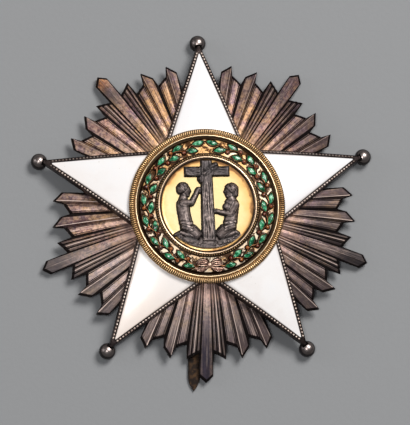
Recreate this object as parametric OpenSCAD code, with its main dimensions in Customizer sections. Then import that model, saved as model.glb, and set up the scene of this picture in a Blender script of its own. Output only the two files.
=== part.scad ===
// Breast star of an order: a five-pointed white enamel star with beaded edges and ball tips,
// on a vaulted plate of silver rays, with a gilt medallion in the middle and a pin at the back.
// It lies on its back: +Z comes out of the front, +Y is the top arm, z = 0 touches the balls.

/* [Vault] */
// Radius of the sphere that the ray plate and the arms are curved to
vault_r = 145; // [130:1:220]
// Height of the plate's upper face at the end of its long rays
edge_z = 1.45; // [1.3:0.05:2]
// Thickness of the ray plate between its ridges
plate_t = 0.7; // [0.5:0.05:0.9]
// Height of a ridge above the grooves beside it, at the plate's edge
ridge_h = 0.85; // [0.4:0.05:1]

/* [Star] */
// Distance from the centre to the point of each enamel arm
arm_reach = 41.2; // [40.5:0.1:42]
// Half of the angle at the point of an arm
arm_angle = 20.1; // [19.5:0.1:20.5]
// Height of the enamel above the grooves of the plate
arm_h = 2.6; // [2.3:0.1:3]
// Thickness of the enamel
enamel_t = 0.8; // [0.5:0.1:1]
// How far the middle of an arm is raised above its edges at its broad end
enamel_crown = 0.22; // [0:0.02:0.3]
// Width of the silver rim around the enamel
rim_w = 0.9; // [0.7:0.05:1.1]
// Height of the wire along the middle of the rim
wire_h = 0.2; // [0.1:0.05:0.4]
// Radius of the balls on the points
ball_r = 2.1; // [1.8:0.1:2.4]
// Distance from the centre to the middle of each ball
ball_reach = 44; // [43.5:0.1:44.5]

/* [Medallion] */
// Outer radius of the milled case
case_r = 20; // [19.8:0.1:20.6]
// Height of the seat on which the case stands
seat_z = 9.8; // [9.7:0.05:10]
// Height of the case's milled wall
case_wall_h = 1.15; // [1:0.05:1.5]
// Inner radius of the milled wall
case_inner_r = 18.5; // [18.45:0.05:18.7]
// Outer radius of the wreath's ground
ground_r = 17.55; // [17.4:0.05:17.6]
// Height of the ground at its outer edge, above the seat
ground_low = 0.85; // [0.75:0.05:1]
// Height of the ground at its inner edge, above the seat
ground_high = 1.75; // [1.5:0.05:2]
// Outer radius of the beaded ring around the disc
bead_ring_r = 13.4; // [13.3:0.05:13.5]
// Inner radius of the beaded ring, where the disc ends
disc_r = 12.1; // [12:0.05:12.2]
// Height of the disc's face above the seat
disc_h = 1.35; // [1.2:0.05:1.5]

/* [Wreath] */
// Length of a leaf
leaf_l = 3.3; // [2.8:0.1:3.4]
// Width of a leaf
leaf_w = 1.55; // [1.2:0.05:1.6]
// Height of a leaf's middle vein above the ground
leaf_h = 0.4; // [0.2:0.05:0.5]
// Radius of a berry
berry_r = 0.5; // [0.4:0.02:0.54]

/* [Relief] */
// Height of the cross above the disc
cross_h = 1.0; // [0.6:0.1:1.4]
// Height of the figures above the disc
figure_h = 1.3; // [0.9:0.1:1.6]

/* [Pin] */
// Width of the pin's blade
blade_w = 3.1; // [2.6:0.1:3.4]
// Thickness of the pin's blade
blade_t = 0.6; // [0.4:0.05:0.6]

/* [Hidden] */
$fn = 96;
arms = 5;
turn = 360 / arms;
// Clearance between pieces that are set into one another
gap = 0.05;
// Clearance under the star, which rests on the ridges of the plate
ridge_gap = 0.1;
post_r = 1.6;
bore_r = post_r + 0.15;

// Height of the vault over its own edge, at a distance r from the centre
edge_r = 44;
function cap(r) = sqrt(vault_r * vault_r - r * r) - sqrt(vault_r * vault_r - edge_r * edge_r);
function groove_z(r) = edge_z + cap(r);
function ridge_z(r) = groove_z(r) + ridge_h * r / edge_r;
function enamel_z(r) = groove_z(r) + arm_h;
function turned(p, a) = [p.x * cos(a) - p.y * sin(a), p.x * sin(a) + p.y * cos(a)];

// The star is made by hand: how far each arm, from the top one to the left around, and each fan of
// rays, from the upper right one to the left around, leans to the left at its end
arm_lean = [0, 0, 0, -0.7, 0];
fan_lean = [-0.2, 0.3, 0.7, -0.8, -0.4];
// An arm leans from this distance on, in its own frame, where it points along +X
lean_from = 16;
function leaned(p, i) = [p.x, p.y + arm_lean[i] * max(0, p.x - lean_from) / (ball_reach - lean_from)];

// Faces of a body whose closed rings of n points follow each other and close on the first,
// running outward below and inward above
function ring_faces(rings, n) = [
    for (i = [0:rings - 1], j = [0:n - 1])
        let (i2 = (i + 1) % rings, j2 = (j + 1) % n)
        each [[i * n + j, i2 * n + j, i2 * n + j2], [i * n + j, i2 * n + j2, i * n + j2]]
];

// Faces of a bar along +X whose closed sections of n points follow each other, capped at both ends
function bar_faces(sections, n) = concat(
    [[for (j = [0:n - 1]) j]],
    [[for (j = [n - 1:-1:0]) (sections - 1) * n + j]],
    [for (i = [0:sections - 2], j = [0:n - 1])
        let (j2 = (j + 1) % n)
        each [[i * n + j, (i + 1) * n + j2, i * n + j2], [i * n + j, (i + 1) * n + j, (i + 1) * n + j2]]]
);

// Ray plate. Each row is an end on the outline of half a fan, from the middle of its long ray
// outward: [distance across, distance out, 1 on a ridge or 0 in a groove or on a side]
fan_half = [
    [0, 44.1, 1],        // long ray, its point
    [1.78, 42.5, 0],     // long ray, its shoulder
    [1.75, 36.7, 0],     // long ray, root of its side
    [3.4, 37.4, 1],      // first ray, middle of its slanted end
    [5.05, 38.25, 0],    // first ray, its point
    [5.05, 34.4, 0],     // first ray, root of its side
    [6.5, 34.85, 1],     // second ray, middle of its end
    [7.96, 35.35, 0],    // second ray, far corner
    [9.23, 38, 1],       // third ray, its point
    [11, 35.2, 0],       // third ray, its shoulder
    [10.8, 32.7, 0],     // third ray, root of its side
    [12.35, 33.05, 1],   // fourth ray, middle of its end
    [13.9, 33.4, 0],     // fourth ray, far corner
    [15.54, 35.5, 1],    // fifth ray, its point
    [16.86, 32.7, 0],    // fifth ray, its shoulder
    [14.4, 27, 0]        // fifth ray, root of its side under the arm
];
// Under the arm the plate ends at this radius
under_arm_r = 27;
hub_r = 12;
plate_steps = 5;
fan_rows = len(fan_half);
// One turn of the pattern, from the middle of a long ray to just before the next one:
// [angle from the long ray, radius of the end, ridge]
fan_turn = concat(
    [for (e = fan_half) [atan2(e.x, e.y), norm([e.x, e.y]), e.z]],
    [[turn / 2, under_arm_r, 0]],
    [for (k = [fan_rows - 1:-1:1]) let (e = fan_half[k]) [turn - atan2(e.x, e.y), norm([e.x, e.y]), e.z]]
);
first_fan = 90 - turn / 2;
// A fan turns as a whole, but for the line under the arm between two fans
function fan_turned(a, angle) =
    angle == turn / 2 ? 0 : atan(fan_lean[angle < turn / 2 ? a : (a + 1) % arms] / edge_r);
stations = [
    for (a = [0:arms - 1], s = fan_turn)
        [first_fan + turn * a + s.x + fan_turned(a, s.x), s.y, s.z]
];

function plate_ring(fraction, upper) = [
    for (s = stations)
        let (r = hub_r + (s.y - hub_r) * fraction)
        [r * cos(s.x), r * sin(s.x), groove_z(r) + (upper ? s.z * ridge_h * r / edge_r : -plate_t)]
];
function plate_hole(upper) = [
    for (s = stations)
        [bore_r * cos(s.x), bore_r * sin(s.x), groove_z(bore_r) - (upper ? 0 : plate_t)]
];

module ray_plate() {
    rings = concat(
        [plate_hole(false)],
        [for (k = [0:plate_steps]) plate_ring(k / plate_steps, false)],
        [for (k = [plate_steps:-1:0]) plate_ring(k / plate_steps, true)],
        [plate_hole(true)]
    );
    color([0.55, 0.47, 0.45])
        polyhedron([for (ring = rings, p = ring) p], ring_faces(len(rings), len(stations)), convexity = 10);
}

// Star. An edge of an arm lies at a distance d from the centre; f runs from the inner corner,
// 0, to the point, 1, which is cut back by cut. The arm points along +X.
enamel_d = arm_reach * sin(arm_angle);
rim_d = enamel_d + rim_w;
tip_cut = 0.85;
edge_steps = 7;
function edge_point(d, cut, f) =
    let (
        tip = d / sin(arm_angle),
        whole = tip * tan(turn / 2) / (sin(arm_angle) + tan(turn / 2) * cos(arm_angle)),
        t = whole + (cut / cos(arm_angle) - whole) * f
    )
    [tip - t * cos(arm_angle), t * sin(arm_angle)];
function star_outline(d, cut) = [
    for (a = [0:arms - 1])
        each concat(
            [for (k = [0:edge_steps])
                let (p = edge_point(d, cut, k / edge_steps)) turned(leaned([p.x, -p.y], a), 90 + turn * a)],
            [for (k = [edge_steps:-1:1])
                turned(leaned(edge_point(d, cut, k / edge_steps), a), 90 + turn * a)]
        )
];
function round_outline(outline, r) = [for (p = outline) p * r / norm(p)];
function between(from, to, f) = [for (j = [0:len(from) - 1]) from[j] * (1 - f) + to[j] * f];
// Height above the grooves, levelled under the case
function at_height(outline, h) = [for (p = outline) [p.x, p.y, min(groove_z(norm(p)) + h, seat_z)]];
function on_ridges(outline) = [for (p = outline) [p.x, p.y, ridge_z(norm(p)) + ridge_gap]];
function level(outline, z) = [for (p = outline) [p.x, p.y, z]];

boss_r = 16.5;
// The walls spread a little toward their foot
foot_spread = 0.15;
foot_d = rim_d + foot_spread;
foot_tip_r = foot_d / sin(arm_angle) - tip_cut - foot_spread;
module star_body() {
    foot = star_outline(foot_d, tip_cut + foot_spread);
    outer = star_outline(rim_d, tip_cut);
    crest = star_outline(enamel_d + rim_w / 2, tip_cut);
    inner = star_outline(enamel_d, tip_cut / 2);
    boss = round_outline(outer, boss_r);
    bore = round_outline(outer, bore_r);
    floor_h = arm_h - enamel_t - gap;
    rings = [
        on_ridges(bore), on_ridges(foot * 0.35), on_ridges(foot * 0.7), on_ridges(foot),
        at_height(outer, arm_h), at_height(crest, arm_h + wire_h), at_height(inner, arm_h),
        at_height(inner, floor_h), at_height(between(inner, boss, 1 / 3), floor_h),
        at_height(between(inner, boss, 2 / 3), floor_h), at_height(boss, floor_h),
        level(boss, seat_z), level(bore, seat_z)
    ];
    color([0.42, 0.36, 0.34])
        polyhedron([for (ring = rings, p = ring) p], ring_faces(len(rings), len(outer)), convexity = 10);
}

// Enamel of one arm, from its broad end under the medallion to its point
enamel_start = 17.4;
enamel_steps = 8;
enamel_tip_cut = 0.5;
// Section across half an arm: [share of the half width, share of the crown]
enamel_half = [[1, -0.35], [0.93, 0], [0.6, 0.64], [0, 1]];
// Places across the back of the enamel, which follows the vault, as shares of the half width
enamel_back = [-1, -0.5, 0, 0.5, 1];
module enamel_arm(i) {
    rows = len(enamel_half);
    across = concat(
        [for (k = [0:rows - 1]) enamel_half[k]],
        [for (k = [rows - 2:-1:0]) [-enamel_half[k].x, enamel_half[k].y]]
    );
    n = len(across) + len(enamel_back);
    points = [
        for (k = [0:enamel_steps])
            let (
                s = enamel_start + (arm_reach - enamel_tip_cut - enamel_start) * k / enamel_steps,
                half = (arm_reach - s) * tan(arm_angle) - gap,
                broad = (arm_reach - enamel_start) * tan(arm_angle),
                aside = leaned([s, 0], i).y
            )
            each concat([
                for (b = enamel_back)
                    [s, b * half + aside, enamel_z(norm([s, b * half + aside])) - enamel_t]
            ], [
                for (c = across)
                    let (y = c.x * half + aside)
                    [s, y, min(enamel_z(norm([s, y])) + enamel_crown * c.y * half / broad, seat_z)]
            ])
    ];
    color([0.98, 0.97, 0.96])
        rotate(90 + turn * i)
            polyhedron(points, bar_faces(enamel_steps + 1, n), convexity = 4);
}

// Ball on the point of an arm, notched for the arm's end
module tip_ball(i) {
    inner_r = ball_reach - ball_r;
    notch_half = (foot_d / sin(arm_angle) - inner_r) * tan(arm_angle) + gap;
    color([0.3, 0.29, 0.3])
        rotate(90 + turn * i) translate([0, arm_lean[i], 0])
            difference() {
                translate([ball_reach, 0, ball_r]) sphere(ball_r);
                translate([inner_r - 1, -notch_half, ridge_z(edge_r)])
                    cube([foot_tip_r + gap - inner_r + 1, 2 * notch_half, 2 * ball_r]);
            }
}

// Medallion. The case is a shallow gilt cup with a milled wall and a thin inner bead.
case_floor = 0.45;
// Radius of the rounded lips of the milled wall, and how far its seat stands back under it
lip_r = 0.35;
undercut = 0.3;
// Thin bead inside the wall: its distance from the centre, half its width, and its height
line_r = 18.2;
line_w = 0.2;
line_h = 0.95;
module medallion_case() {
    z0 = seat_z + gap;
    top = z0 + case_wall_h;
    color([0.62, 0.48, 0.26])
        rotate_extrude()
            union() {
                translate([0, z0]) square([case_r - undercut, case_floor]);
                translate([case_inner_r, z0 + undercut])
                    square([case_r - case_inner_r, case_wall_h - undercut - lip_r]);
                translate([case_inner_r + lip_r, z0])
                    square([case_r - case_inner_r - lip_r - undercut, case_wall_h]);
                for (r = [case_inner_r + lip_r, case_r - lip_r])
                    translate([r, top - lip_r]) circle(lip_r, $fn = 32);
                translate([line_r - line_w, z0]) square([2 * line_w, line_h]);
                translate([line_r, z0 + line_h]) circle(line_w, $fn = 24);
            }
}

// Conical ground of the wreath, with a shoulder for the beaded ring
shoulder = 0.35;
module wreath_ground() {
    z0 = seat_z + gap + case_floor + gap;
    color([0.93, 0.83, 0.58])
        rotate_extrude()
            polygon([
                [disc_r + gap, z0], [ground_r, z0], [ground_r, seat_z + ground_low],
                [bead_ring_r, seat_z + ground_high], [bead_ring_r, seat_z + ground_high - shoulder],
                [disc_r + gap, seat_z + ground_high - shoulder]
            ]);
}

// Height of the ground at a distance r from the centre, and its slope
ground_slope = (ground_high - ground_low) / (ground_r - bead_ring_r);
function ground_z(r) = seat_z + ground_low + (ground_r - r) * ground_slope;

// Puts a piece on the wreath's ground: at an angle to the left of the top, turned by lean and lifted
module on_ground(r, angle, lean = 0, lift = 0) {
    rotate(90 + angle)
        translate([r, 0, ground_z(r) + gap + lift])
            rotate([0, atan(ground_slope), 0])
                rotate(lean)
                    children();
}

// Leaf that points along +Y: eight points around its foot and two ends of its raised vein
module leaf(l, w, h) {
    outline = [for (k = [0:7]) let (a = 45 * k) [w / 2 * sin(a) * (1 + 0.15 * cos(a)), l / 2 * cos(a), 0]];
    vein = [[0, l * 0.22, h], [0, -l * 0.26, h]];
    polyhedron(concat(outline, vein), [
        [7, 6, 5, 4, 3, 2, 1, 0],
        [0, 1, 8], [1, 2, 8], [2, 9, 8], [2, 3, 9], [3, 4, 9],
        [4, 5, 9], [5, 6, 9], [6, 8, 9], [6, 7, 8], [7, 0, 8]
    ]);
}

// Left branch of the wreath, from the bow to the top: leaves in an outer and an inner row on a
// winding stem that runs from foot to foot, with a berry beside each bend.
// lean turns a leaf's point outward from its run toward the top.
outer_row = [16.3, 6.6, 12];    // distance from the centre, angle of the first leaf, lean
inner_row = [14.55, 14.6, -18];
leaf_pitch = 19.4;
leaf_pairs = 8;
stem_w = 0.36;
stem_h = 0.3;
function leaf_angle(row, k) = row[1] + leaf_pitch * k;
// Foot of a leaf, where the stem meets it: [distance from the centre, angle]
function leaf_foot(row, k) =
    let (back = leaf_l * 0.42, r = row[0] - back * sin(row[2]))
    [r, leaf_angle(row, k) + atan(back * cos(row[2]) / r)];
stem_foot = [15.4, 173];
stem_path = [
    for (k = [0:leaf_pairs])
        each [leaf_foot(outer_row, k), k < leaf_pairs ? leaf_foot(inner_row, k) : stem_foot]
];
// Each length of the stem thins toward the next, so that it grows out of the one before
stem_taper = 0.7;
module stem_end(share) {
    w = stem_w * share;
    translate([-w / 2, -w / 2, 0]) cube([w, w, stem_h * share]);
}
// Lift of the stem over the ground, and of the berries beside it
stem_lift = 0.03;
berry_lift = 2 * stem_lift;
berry_h = 0.55;
// A berry stands past a bend of the stem: its shift outward or inward, and along the branch in degrees
berry_shift = 0.25;
berry_turn = 2.6;
module wreath_branch() {
    for (k = [0:leaf_pairs])
        on_ground(outer_row[0], leaf_angle(outer_row, k), 180 + outer_row[2]) leaf(leaf_l, leaf_w, leaf_h);
    for (k = [0:leaf_pairs - 1])
        on_ground(inner_row[0], leaf_angle(inner_row, k), 180 + inner_row[2]) leaf(leaf_l, leaf_w, leaf_h);
    for (k = [0:len(stem_path) - 2])
        hull()
            for (end = [0, 1])
                on_ground(stem_path[k + end][0], stem_path[k + end][1], 0, stem_lift * (1 + end))
                    stem_end(end == 0 ? 1 : stem_taper);
    for (k = [1:len(stem_path) - 3])
        let (side = k % 2 == 0 ? 1 : -1)
            on_ground(stem_path[k][0] + side * berry_shift, stem_path[k][1] + berry_turn, 0, berry_lift)
                cylinder(h = berry_h, r1 = berry_r, r2 = berry_r * 0.6, $fn = 8);
}
module wreath_left() {
    color([0.1, 0.5, 0.34]) wreath_branch();
}
module wreath_right() {
    color([0.1, 0.5, 0.34]) mirror([1, 0, 0]) wreath_branch();
}

// Ribbon bow that ties the two branches at the bottom
bow_r = 15.4;
// Loops and tails: [angle of the far end from the knot, distance out of its near end,
// distance out of its far end, half width of the far end]
bow_folds = [[4.8, 15.5, 16.4, 0.5], [4.8, 15.2, 14.6, 0.5], [9.2, 15.8, 16.6, 0.3], [8.8, 15, 14.6, 0.3]];
module ribbon_bow() {
    color([0.72, 0.5, 0.42]) {
        on_ground(bow_r, 180) translate([0, 0, 0.03]) cylinder(h = 0.55, r = 0.6, $fn = 8);
        for (side = [-1, 1], fold = bow_folds)
            hull() {
                on_ground(fold[1], 180 + side * 1.3) cylinder(h = 0.4, r = 0.25, $fn = 6);
                on_ground(fold[2], 180 + side * fold[0]) cylinder(h = 0.3, r = fold[3], $fn = 8);
            }
    }
}

// Ring of fine beads around the disc, as a half-round wire on a low foot
bead_foot = 0.2;
module bead_ring() {
    z0 = seat_z + ground_high - shoulder + gap;
    half = (bead_ring_r - disc_r) / 2 - gap;
    color([0.72, 0.55, 0.28])
        rotate_extrude()
            translate([(bead_ring_r + disc_r) / 2, z0])
                union() {
                    translate([-half, 0]) square([2 * half, bead_foot]);
                    intersection() {
                        translate([0, bead_foot]) circle(half, $fn = 48);
                        translate([-half, 0]) square([2 * half, 2 * half]);
                    }
                }
}

// Gilt disc behind the relief, with its edge turned up
module medallion_disc() {
    z0 = seat_z + gap + case_floor + gap;
    face = seat_z + disc_h;
    color([0.97, 0.84, 0.45])
        rotate_extrude()
            polygon([
                [0, z0], [disc_r, z0], [disc_r, face + 0.3], [disc_r - 0.15, face + 0.3],
                [disc_r - 0.5, face + 0.1], [disc_r - 1.1, face], [0, face]
            ]);
}

// Relief: a cross on a mound between two kneeling figures, one casting.
// A limb is a rounded bar between two places, flattened toward the disc.
module limb(x1, y1, r1, x2, y2, r2, h) {
    hull() {
        translate([x1, y1, 0]) scale([1, 1, h / r1]) sphere(r1, $fn = 8);
        translate([x2, y2, 0]) scale([1, 1, h / r2]) sphere(r2, $fn = 8);
    }
}
// Kneeling figure that faces the cross, as seen on the left:
// [from x, from y, radius, to x, to y, radius, share of the figures' height]
kneeler = [
    [-6.4, 3.95, 1.65, -6.05, 3.4, 1.6, 1],         // head
    [-6.25, 2.3, 1, -6.35, 1, 1.15, 0.7],           // neck
    [-6.15, 0.1, 2, -6.05, -2, 1.8, 0.85],          // chest to waist
    [-6.05, -2.3, 1.75, -6.05, -5.2, 2, 0.85],      // waist to hips
    [-5.6, -5.8, 2.05, -2.9, -8, 1.25, 1],          // thigh
    [-3.1, -8.4, 1.05, -8, -7.7, 0.8, 0.7]          // shin and foot
];
// Arm raised toward the cross, and arm stretched out to it, with the same columns
raised_arm = [
    [-5.6, 0.5, 1, -3.7, 0.1, 0.8, 1],              // upper arm
    [-3.7, 0.1, 0.8, -2.3, 3.2, 0.65, 0.9],         // forearm
    [-2.4, 3.3, 0.7, -2, 4, 0.6, 0.8]               // hand
];
stretched_arm = [
    [-6.7, 0, 1, -5.6, -2.5, 0.85, 1],              // upper arm
    [-5.6, -2.5, 0.8, -2.3, -1.7, 0.6, 0.9],        // forearm
    [-2.4, -1.7, 0.65, -1.6, -1.4, 0.5, 0.8]        // hand
];
// Long hair down the nape, with the same columns
long_hair = [[-6.9, 4.2, 1.6, -7.8, 1.9, 0.8, 0.9]];
// Wound band over the crossing, from its upper right to its lower left
band = [
    [2.3, 10, 0.95, 0.9, 9.3, 0.9, 1],
    [1, 9, 1.05, -0.6, 7.7, 1.05, 1.1],
    [-0.7, 7.9, 0.9, -1.9, 6.1, 1, 1]
];
band_h = cross_h + 0.2;

module limbs(rows, height) {
    for (row = rows) limb(row[0], row[1], row[2], row[3], row[4], row[5], row[6] * height);
}
module cross_and_mound() {
    top = 11.1;
    foot = -9;
    // Upright, a little broader at its foot
    linear_extrude(cross_h)
        polygon([[-1.3, top], [1.3, top], [1.35, 0], [1.6, foot], [-1.6, foot], [-1.35, 0]]);
    translate([-5.7, 7.15, 0]) cube([11.4, 2.4, cross_h * 0.9]);
    // Mound: the lower part of a circle under a gently humped line
    linear_extrude(cross_h * 0.75)
        intersection() {
            circle(11.05);
            polygon([
                [-9.2, -7.7], [-5, -8.5], [-2, -8.2], [2, -8.2],
                [5, -8.5], [8.6, -7.9], [8.6, -12], [-9.2, -12]
            ]);
        }
}
module medallion_relief() {
    color([0.3, 0.28, 0.29])
        translate([0, 0, seat_z + disc_h + gap])
            intersection() {
                union() {
                    cross_and_mound();
                    limbs(kneeler, figure_h);
                    limbs(raised_arm, figure_h);
                    mirror([1, 0, 0]) {
                        limbs(kneeler, figure_h);
                        limbs(stretched_arm, figure_h);
                        limbs(long_hair, figure_h);
                    }
                    limbs(band, band_h);
                }
                cylinder(h = 2 * figure_h, r = 11.2, $fn = 72);
            }
}

// Post that holds the medallion, the star and the plate together, with its nut at the back
nut_r = 4.2;
nut_h = 1.5;
module centre_post() {
    nut_top = groove_z(nut_r) - plate_t - ridge_gap;
    color([0.6, 0.58, 0.55]) {
        translate([0, 0, nut_top - nut_h]) cylinder(h = nut_h, r = nut_r, $fn = 6);
        translate([0, 0, nut_top - nut_h]) cylinder(h = seat_z + gap - nut_top + nut_h, r = post_r);
    }
}

// Pin at the back: a flat blade that runs down from its hinge block and shows past the rays
blade_tip = [-3.95, -46.15];
blade_root = [-1, 27];
blade_root_z = 3;
blade_tip_z = 0.4;
blade_run = norm(blade_root - blade_tip);
// Length of the blade's pointed end, and the shares of it at which its outline has a corner
blade_point_l = 4;
blade_point = [0, 0.2, 0.4, 0.6, 0.8, 1];
barrel_r = 1.2;
catch_y = -29;
catch_t = 1.6;
// The vault's inner face, to which the block and the catch are fitted
module under_vault() {
    intersection() {
        children();
        translate([0, 0, groove_z(0) - plate_t - 2 * ridge_gap - vault_r]) sphere(vault_r, $fn = 200);
    }
}
module brooch_pin() {
    sweep = atan2(blade_root.x - blade_tip.x, blade_root.y - blade_tip.y);
    slope = atan2(blade_root_z - blade_tip_z, blade_run);
    half = blade_w / 2;
    share = (blade_root.y - catch_y) / (blade_root.y - blade_tip.y);
    catch_x = blade_root.x + (blade_tip.x - blade_root.x) * share;
    catch_z = blade_root_z + (blade_tip_z - blade_root_z) * share;
    color([0.5, 0.4, 0.24]) {
        // Blade with a leaf-shaped point
        translate([blade_root.x, blade_root.y, blade_root_z])
            rotate([slope, 0, -sweep])
                translate([0, 0, -blade_t / 2])
                    linear_extrude(blade_t)
                        polygon(concat(
                            [[-half * 0.8, 0], [half * 0.8, 0], [half, -blade_run * 0.3]],
                            [for (t = blade_point) [half * (1 - t * t), blade_point_l * (1 - t) - blade_run]],
                            [for (k = [len(blade_point) - 2:-1:0])
                                let (t = blade_point[k])
                                [half * (t * t - 1), blade_point_l * (1 - t) - blade_run]],
                            [[-half, -blade_run * 0.3]]
                        ));
        // Hinge block and barrel
        translate([blade_root.x - 3, blade_root.y, blade_root_z])
            rotate([0, 90, 0]) cylinder(h = 6, r = barrel_r);
        under_vault()
            translate([blade_root.x - 3, blade_root.y - barrel_r, blade_root_z])
                cube([6, 2 * barrel_r, 6]);
        // Catch: a hook around the blade
        under_vault()
            translate([catch_x - half - 1, catch_y - catch_t / 2, catch_z - blade_t / 2])
                cube([1.2, catch_t, 6]);
        translate([catch_x - half - 1, catch_y - catch_t / 2, catch_z - blade_t / 2 - 0.45])
            cube([blade_w + 1.3, catch_t, 0.6]);
    }
}

ray_plate();
star_body();
enamel_arm(0);  // enamel_arm_1
enamel_arm(1);  // enamel_arm_2
enamel_arm(2);  // enamel_arm_3
enamel_arm(3);  // enamel_arm_4
enamel_arm(4);  // enamel_arm_5
tip_ball(0);  // tip_ball_1
tip_ball(1);  // tip_ball_2
tip_ball(2);  // tip_ball_3
tip_ball(3);  // tip_ball_4
tip_ball(4);  // tip_ball_5
medallion_case();
wreath_ground();
wreath_left();
wreath_right();
ribbon_bow();
bead_ring();
medallion_disc();
medallion_relief();
centre_post();
brooch_pin();
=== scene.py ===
import math
import random

import bmesh
import bpy
from mathutils import Matrix, Vector, noise


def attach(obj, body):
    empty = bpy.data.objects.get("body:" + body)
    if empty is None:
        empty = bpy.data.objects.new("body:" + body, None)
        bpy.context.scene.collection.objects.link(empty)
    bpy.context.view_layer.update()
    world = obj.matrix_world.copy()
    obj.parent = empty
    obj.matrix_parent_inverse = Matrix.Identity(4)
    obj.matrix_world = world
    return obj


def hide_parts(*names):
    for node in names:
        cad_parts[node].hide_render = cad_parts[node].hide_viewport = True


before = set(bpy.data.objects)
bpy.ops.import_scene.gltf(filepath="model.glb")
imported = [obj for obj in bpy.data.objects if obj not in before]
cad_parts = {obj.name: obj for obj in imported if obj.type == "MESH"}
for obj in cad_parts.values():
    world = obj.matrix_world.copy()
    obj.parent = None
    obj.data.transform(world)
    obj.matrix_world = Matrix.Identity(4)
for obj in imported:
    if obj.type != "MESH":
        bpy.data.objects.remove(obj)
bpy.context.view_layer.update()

# Floor, light and camera
# The star lies on its back on a matt grey sheet. A large soft lamp stands at its upper right, a
# smaller one beside the camera and a weak one at the left. The camera looks from 12 degrees off
# the star's axis.
MM = 0.001
BALL_CENTRE_Z = 2.1
FLOOR_GREY = (0.268, 0.273, 0.281)
FLOOR_SIZE = 1.6
CAMERA_TILT = math.radians(12)
CAMERA_SIDE = math.radians(236)
CAMERA_ROLL = math.radians(-2.07)
CAMERA_DISTANCE = 1.0
IMAGE_PX = (410, 425)
STAR_CENTRE_PX = (203.5, 211.7)
PX_PER_MM = 3.904
SENSOR = 36.0


def feed(tree, node, inputs):
    """Sets a node's inputs, each to a fixed value or to the shade that drives it."""
    for name, value in inputs.items():
        socket = node.inputs[name]
        if isinstance(value, Shade):
            tree.links.new(value.socket, socket)
        else:
            socket.default_value = (*value, 1) if socket.type == "RGBA" else value


def add_node(tree, kind, inputs=None, **settings):
    node = tree.nodes.new(kind)
    for name, value in settings.items():
        setattr(node, name, value)
    feed(tree, node, inputs or {})
    return node


class Shade:
    """A number or colour that a material has at every place; what is done with it adds nodes."""

    def __init__(self, tree, node, output):
        self.tree = tree
        self.socket = node.outputs[output]

    def apply(self, operation, *others):
        inputs = dict(enumerate((self, *others)))
        return new_shade(self.tree, "ShaderNodeMath", "Value", inputs, operation=operation)

    def __add__(self, other):
        return self.apply("ADD", other)

    def __sub__(self, other):
        return self.apply("SUBTRACT", other)

    def __mul__(self, other):
        return self.apply("MULTIPLY", other)

    def fit(self, low, high, to_low=0.0, to_high=1.0):
        """Maps low..high to to_low..to_high, clamped."""
        inputs = {"Value": self, "From Min": low, "From Max": high, "To Min": to_low, "To Max": to_high}
        return new_shade(self.tree, "ShaderNodeMapRange", "Result", inputs)

    def blend(self, one, two):
        """The first colour where this is 0, and the second where it is 1."""
        # The Mix node takes its share at socket 0 and colours at 6 and 7, and gives a colour at 2
        inputs = {0: self, 6: one, 7: two}
        return new_shade(self.tree, "ShaderNodeMix", 2, inputs, data_type="RGBA")

    def under(self, share, colour):
        """This colour with another one over it, as thickly as share says."""
        return share.blend(self, colour)

    def steps(self, stops):
        """Colours by value; stops are (place, colour)."""
        ramp = add_node(self.tree, "ShaderNodeValToRGB", {"Fac": self})
        elements = ramp.color_ramp.elements
        while len(elements) < len(stops):
            elements.new(0.5)
        for element, (place, colour) in zip(elements, stops):
            element.position = place
            element.color = (*colour, 1)
        return Shade(self.tree, ramp, "Color")


def new_shade(tree, kind, output, inputs=None, **settings):
    """What a new node puts out."""
    return Shade(tree, add_node(tree, kind, inputs, **settings), output)


def new_material(name):
    """A material with an empty node tree but for its output and one Principled shader."""
    material = bpy.data.materials.new(name)
    material.use_nodes = True
    tree = material.node_tree
    tree.nodes.clear()
    shader = add_node(tree, "ShaderNodeBsdfPrincipled")
    add_node(tree, "ShaderNodeOutputMaterial", {"Surface": Shade(tree, shader, "BSDF")})
    return material, tree, shader


def object_place(tree):
    return new_shade(tree, "ShaderNodeTexCoord", "Object")


def noise_value(tree, scale, detail=4, roughness=0.5, vector=None):
    """Cloudy noise; scale is in cells for each metre."""
    return new_shade(tree, "ShaderNodeTexNoise", "Fac", {
        "Vector": vector or object_place(tree), "Scale": scale, "Detail": detail, "Roughness": roughness})


def bump(height, distance, strength=1.0):
    inputs = {"Height": height, "Distance": distance, "Strength": strength}
    return new_shade(height.tree, "ShaderNodeBump", "Normal", inputs)


floor_material, tree, shader = new_material("matt_grey_sheet")
floor_noise = noise_value(tree, 900, 5)
feed(tree, shader, {
    "Base Color": floor_noise.steps([(0.3, [part * 0.985 for part in FLOOR_GREY]), (0.7, FLOOR_GREY)]),
    "Roughness": 0.8, "Specular IOR Level": 0.2, "Normal": bump(floor_noise, 0.00005)})

floor_mesh = bpy.data.meshes.new("floor")
bm = bmesh.new()
bmesh.ops.create_grid(bm, x_segments=1, y_segments=1, size=FLOOR_SIZE / 2)
bm.to_mesh(floor_mesh)
bm.free()
floor = bpy.data.objects.new("floor", floor_mesh)
floor.data.materials.append(floor_material)
bpy.context.scene.collection.objects.link(floor)

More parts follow.
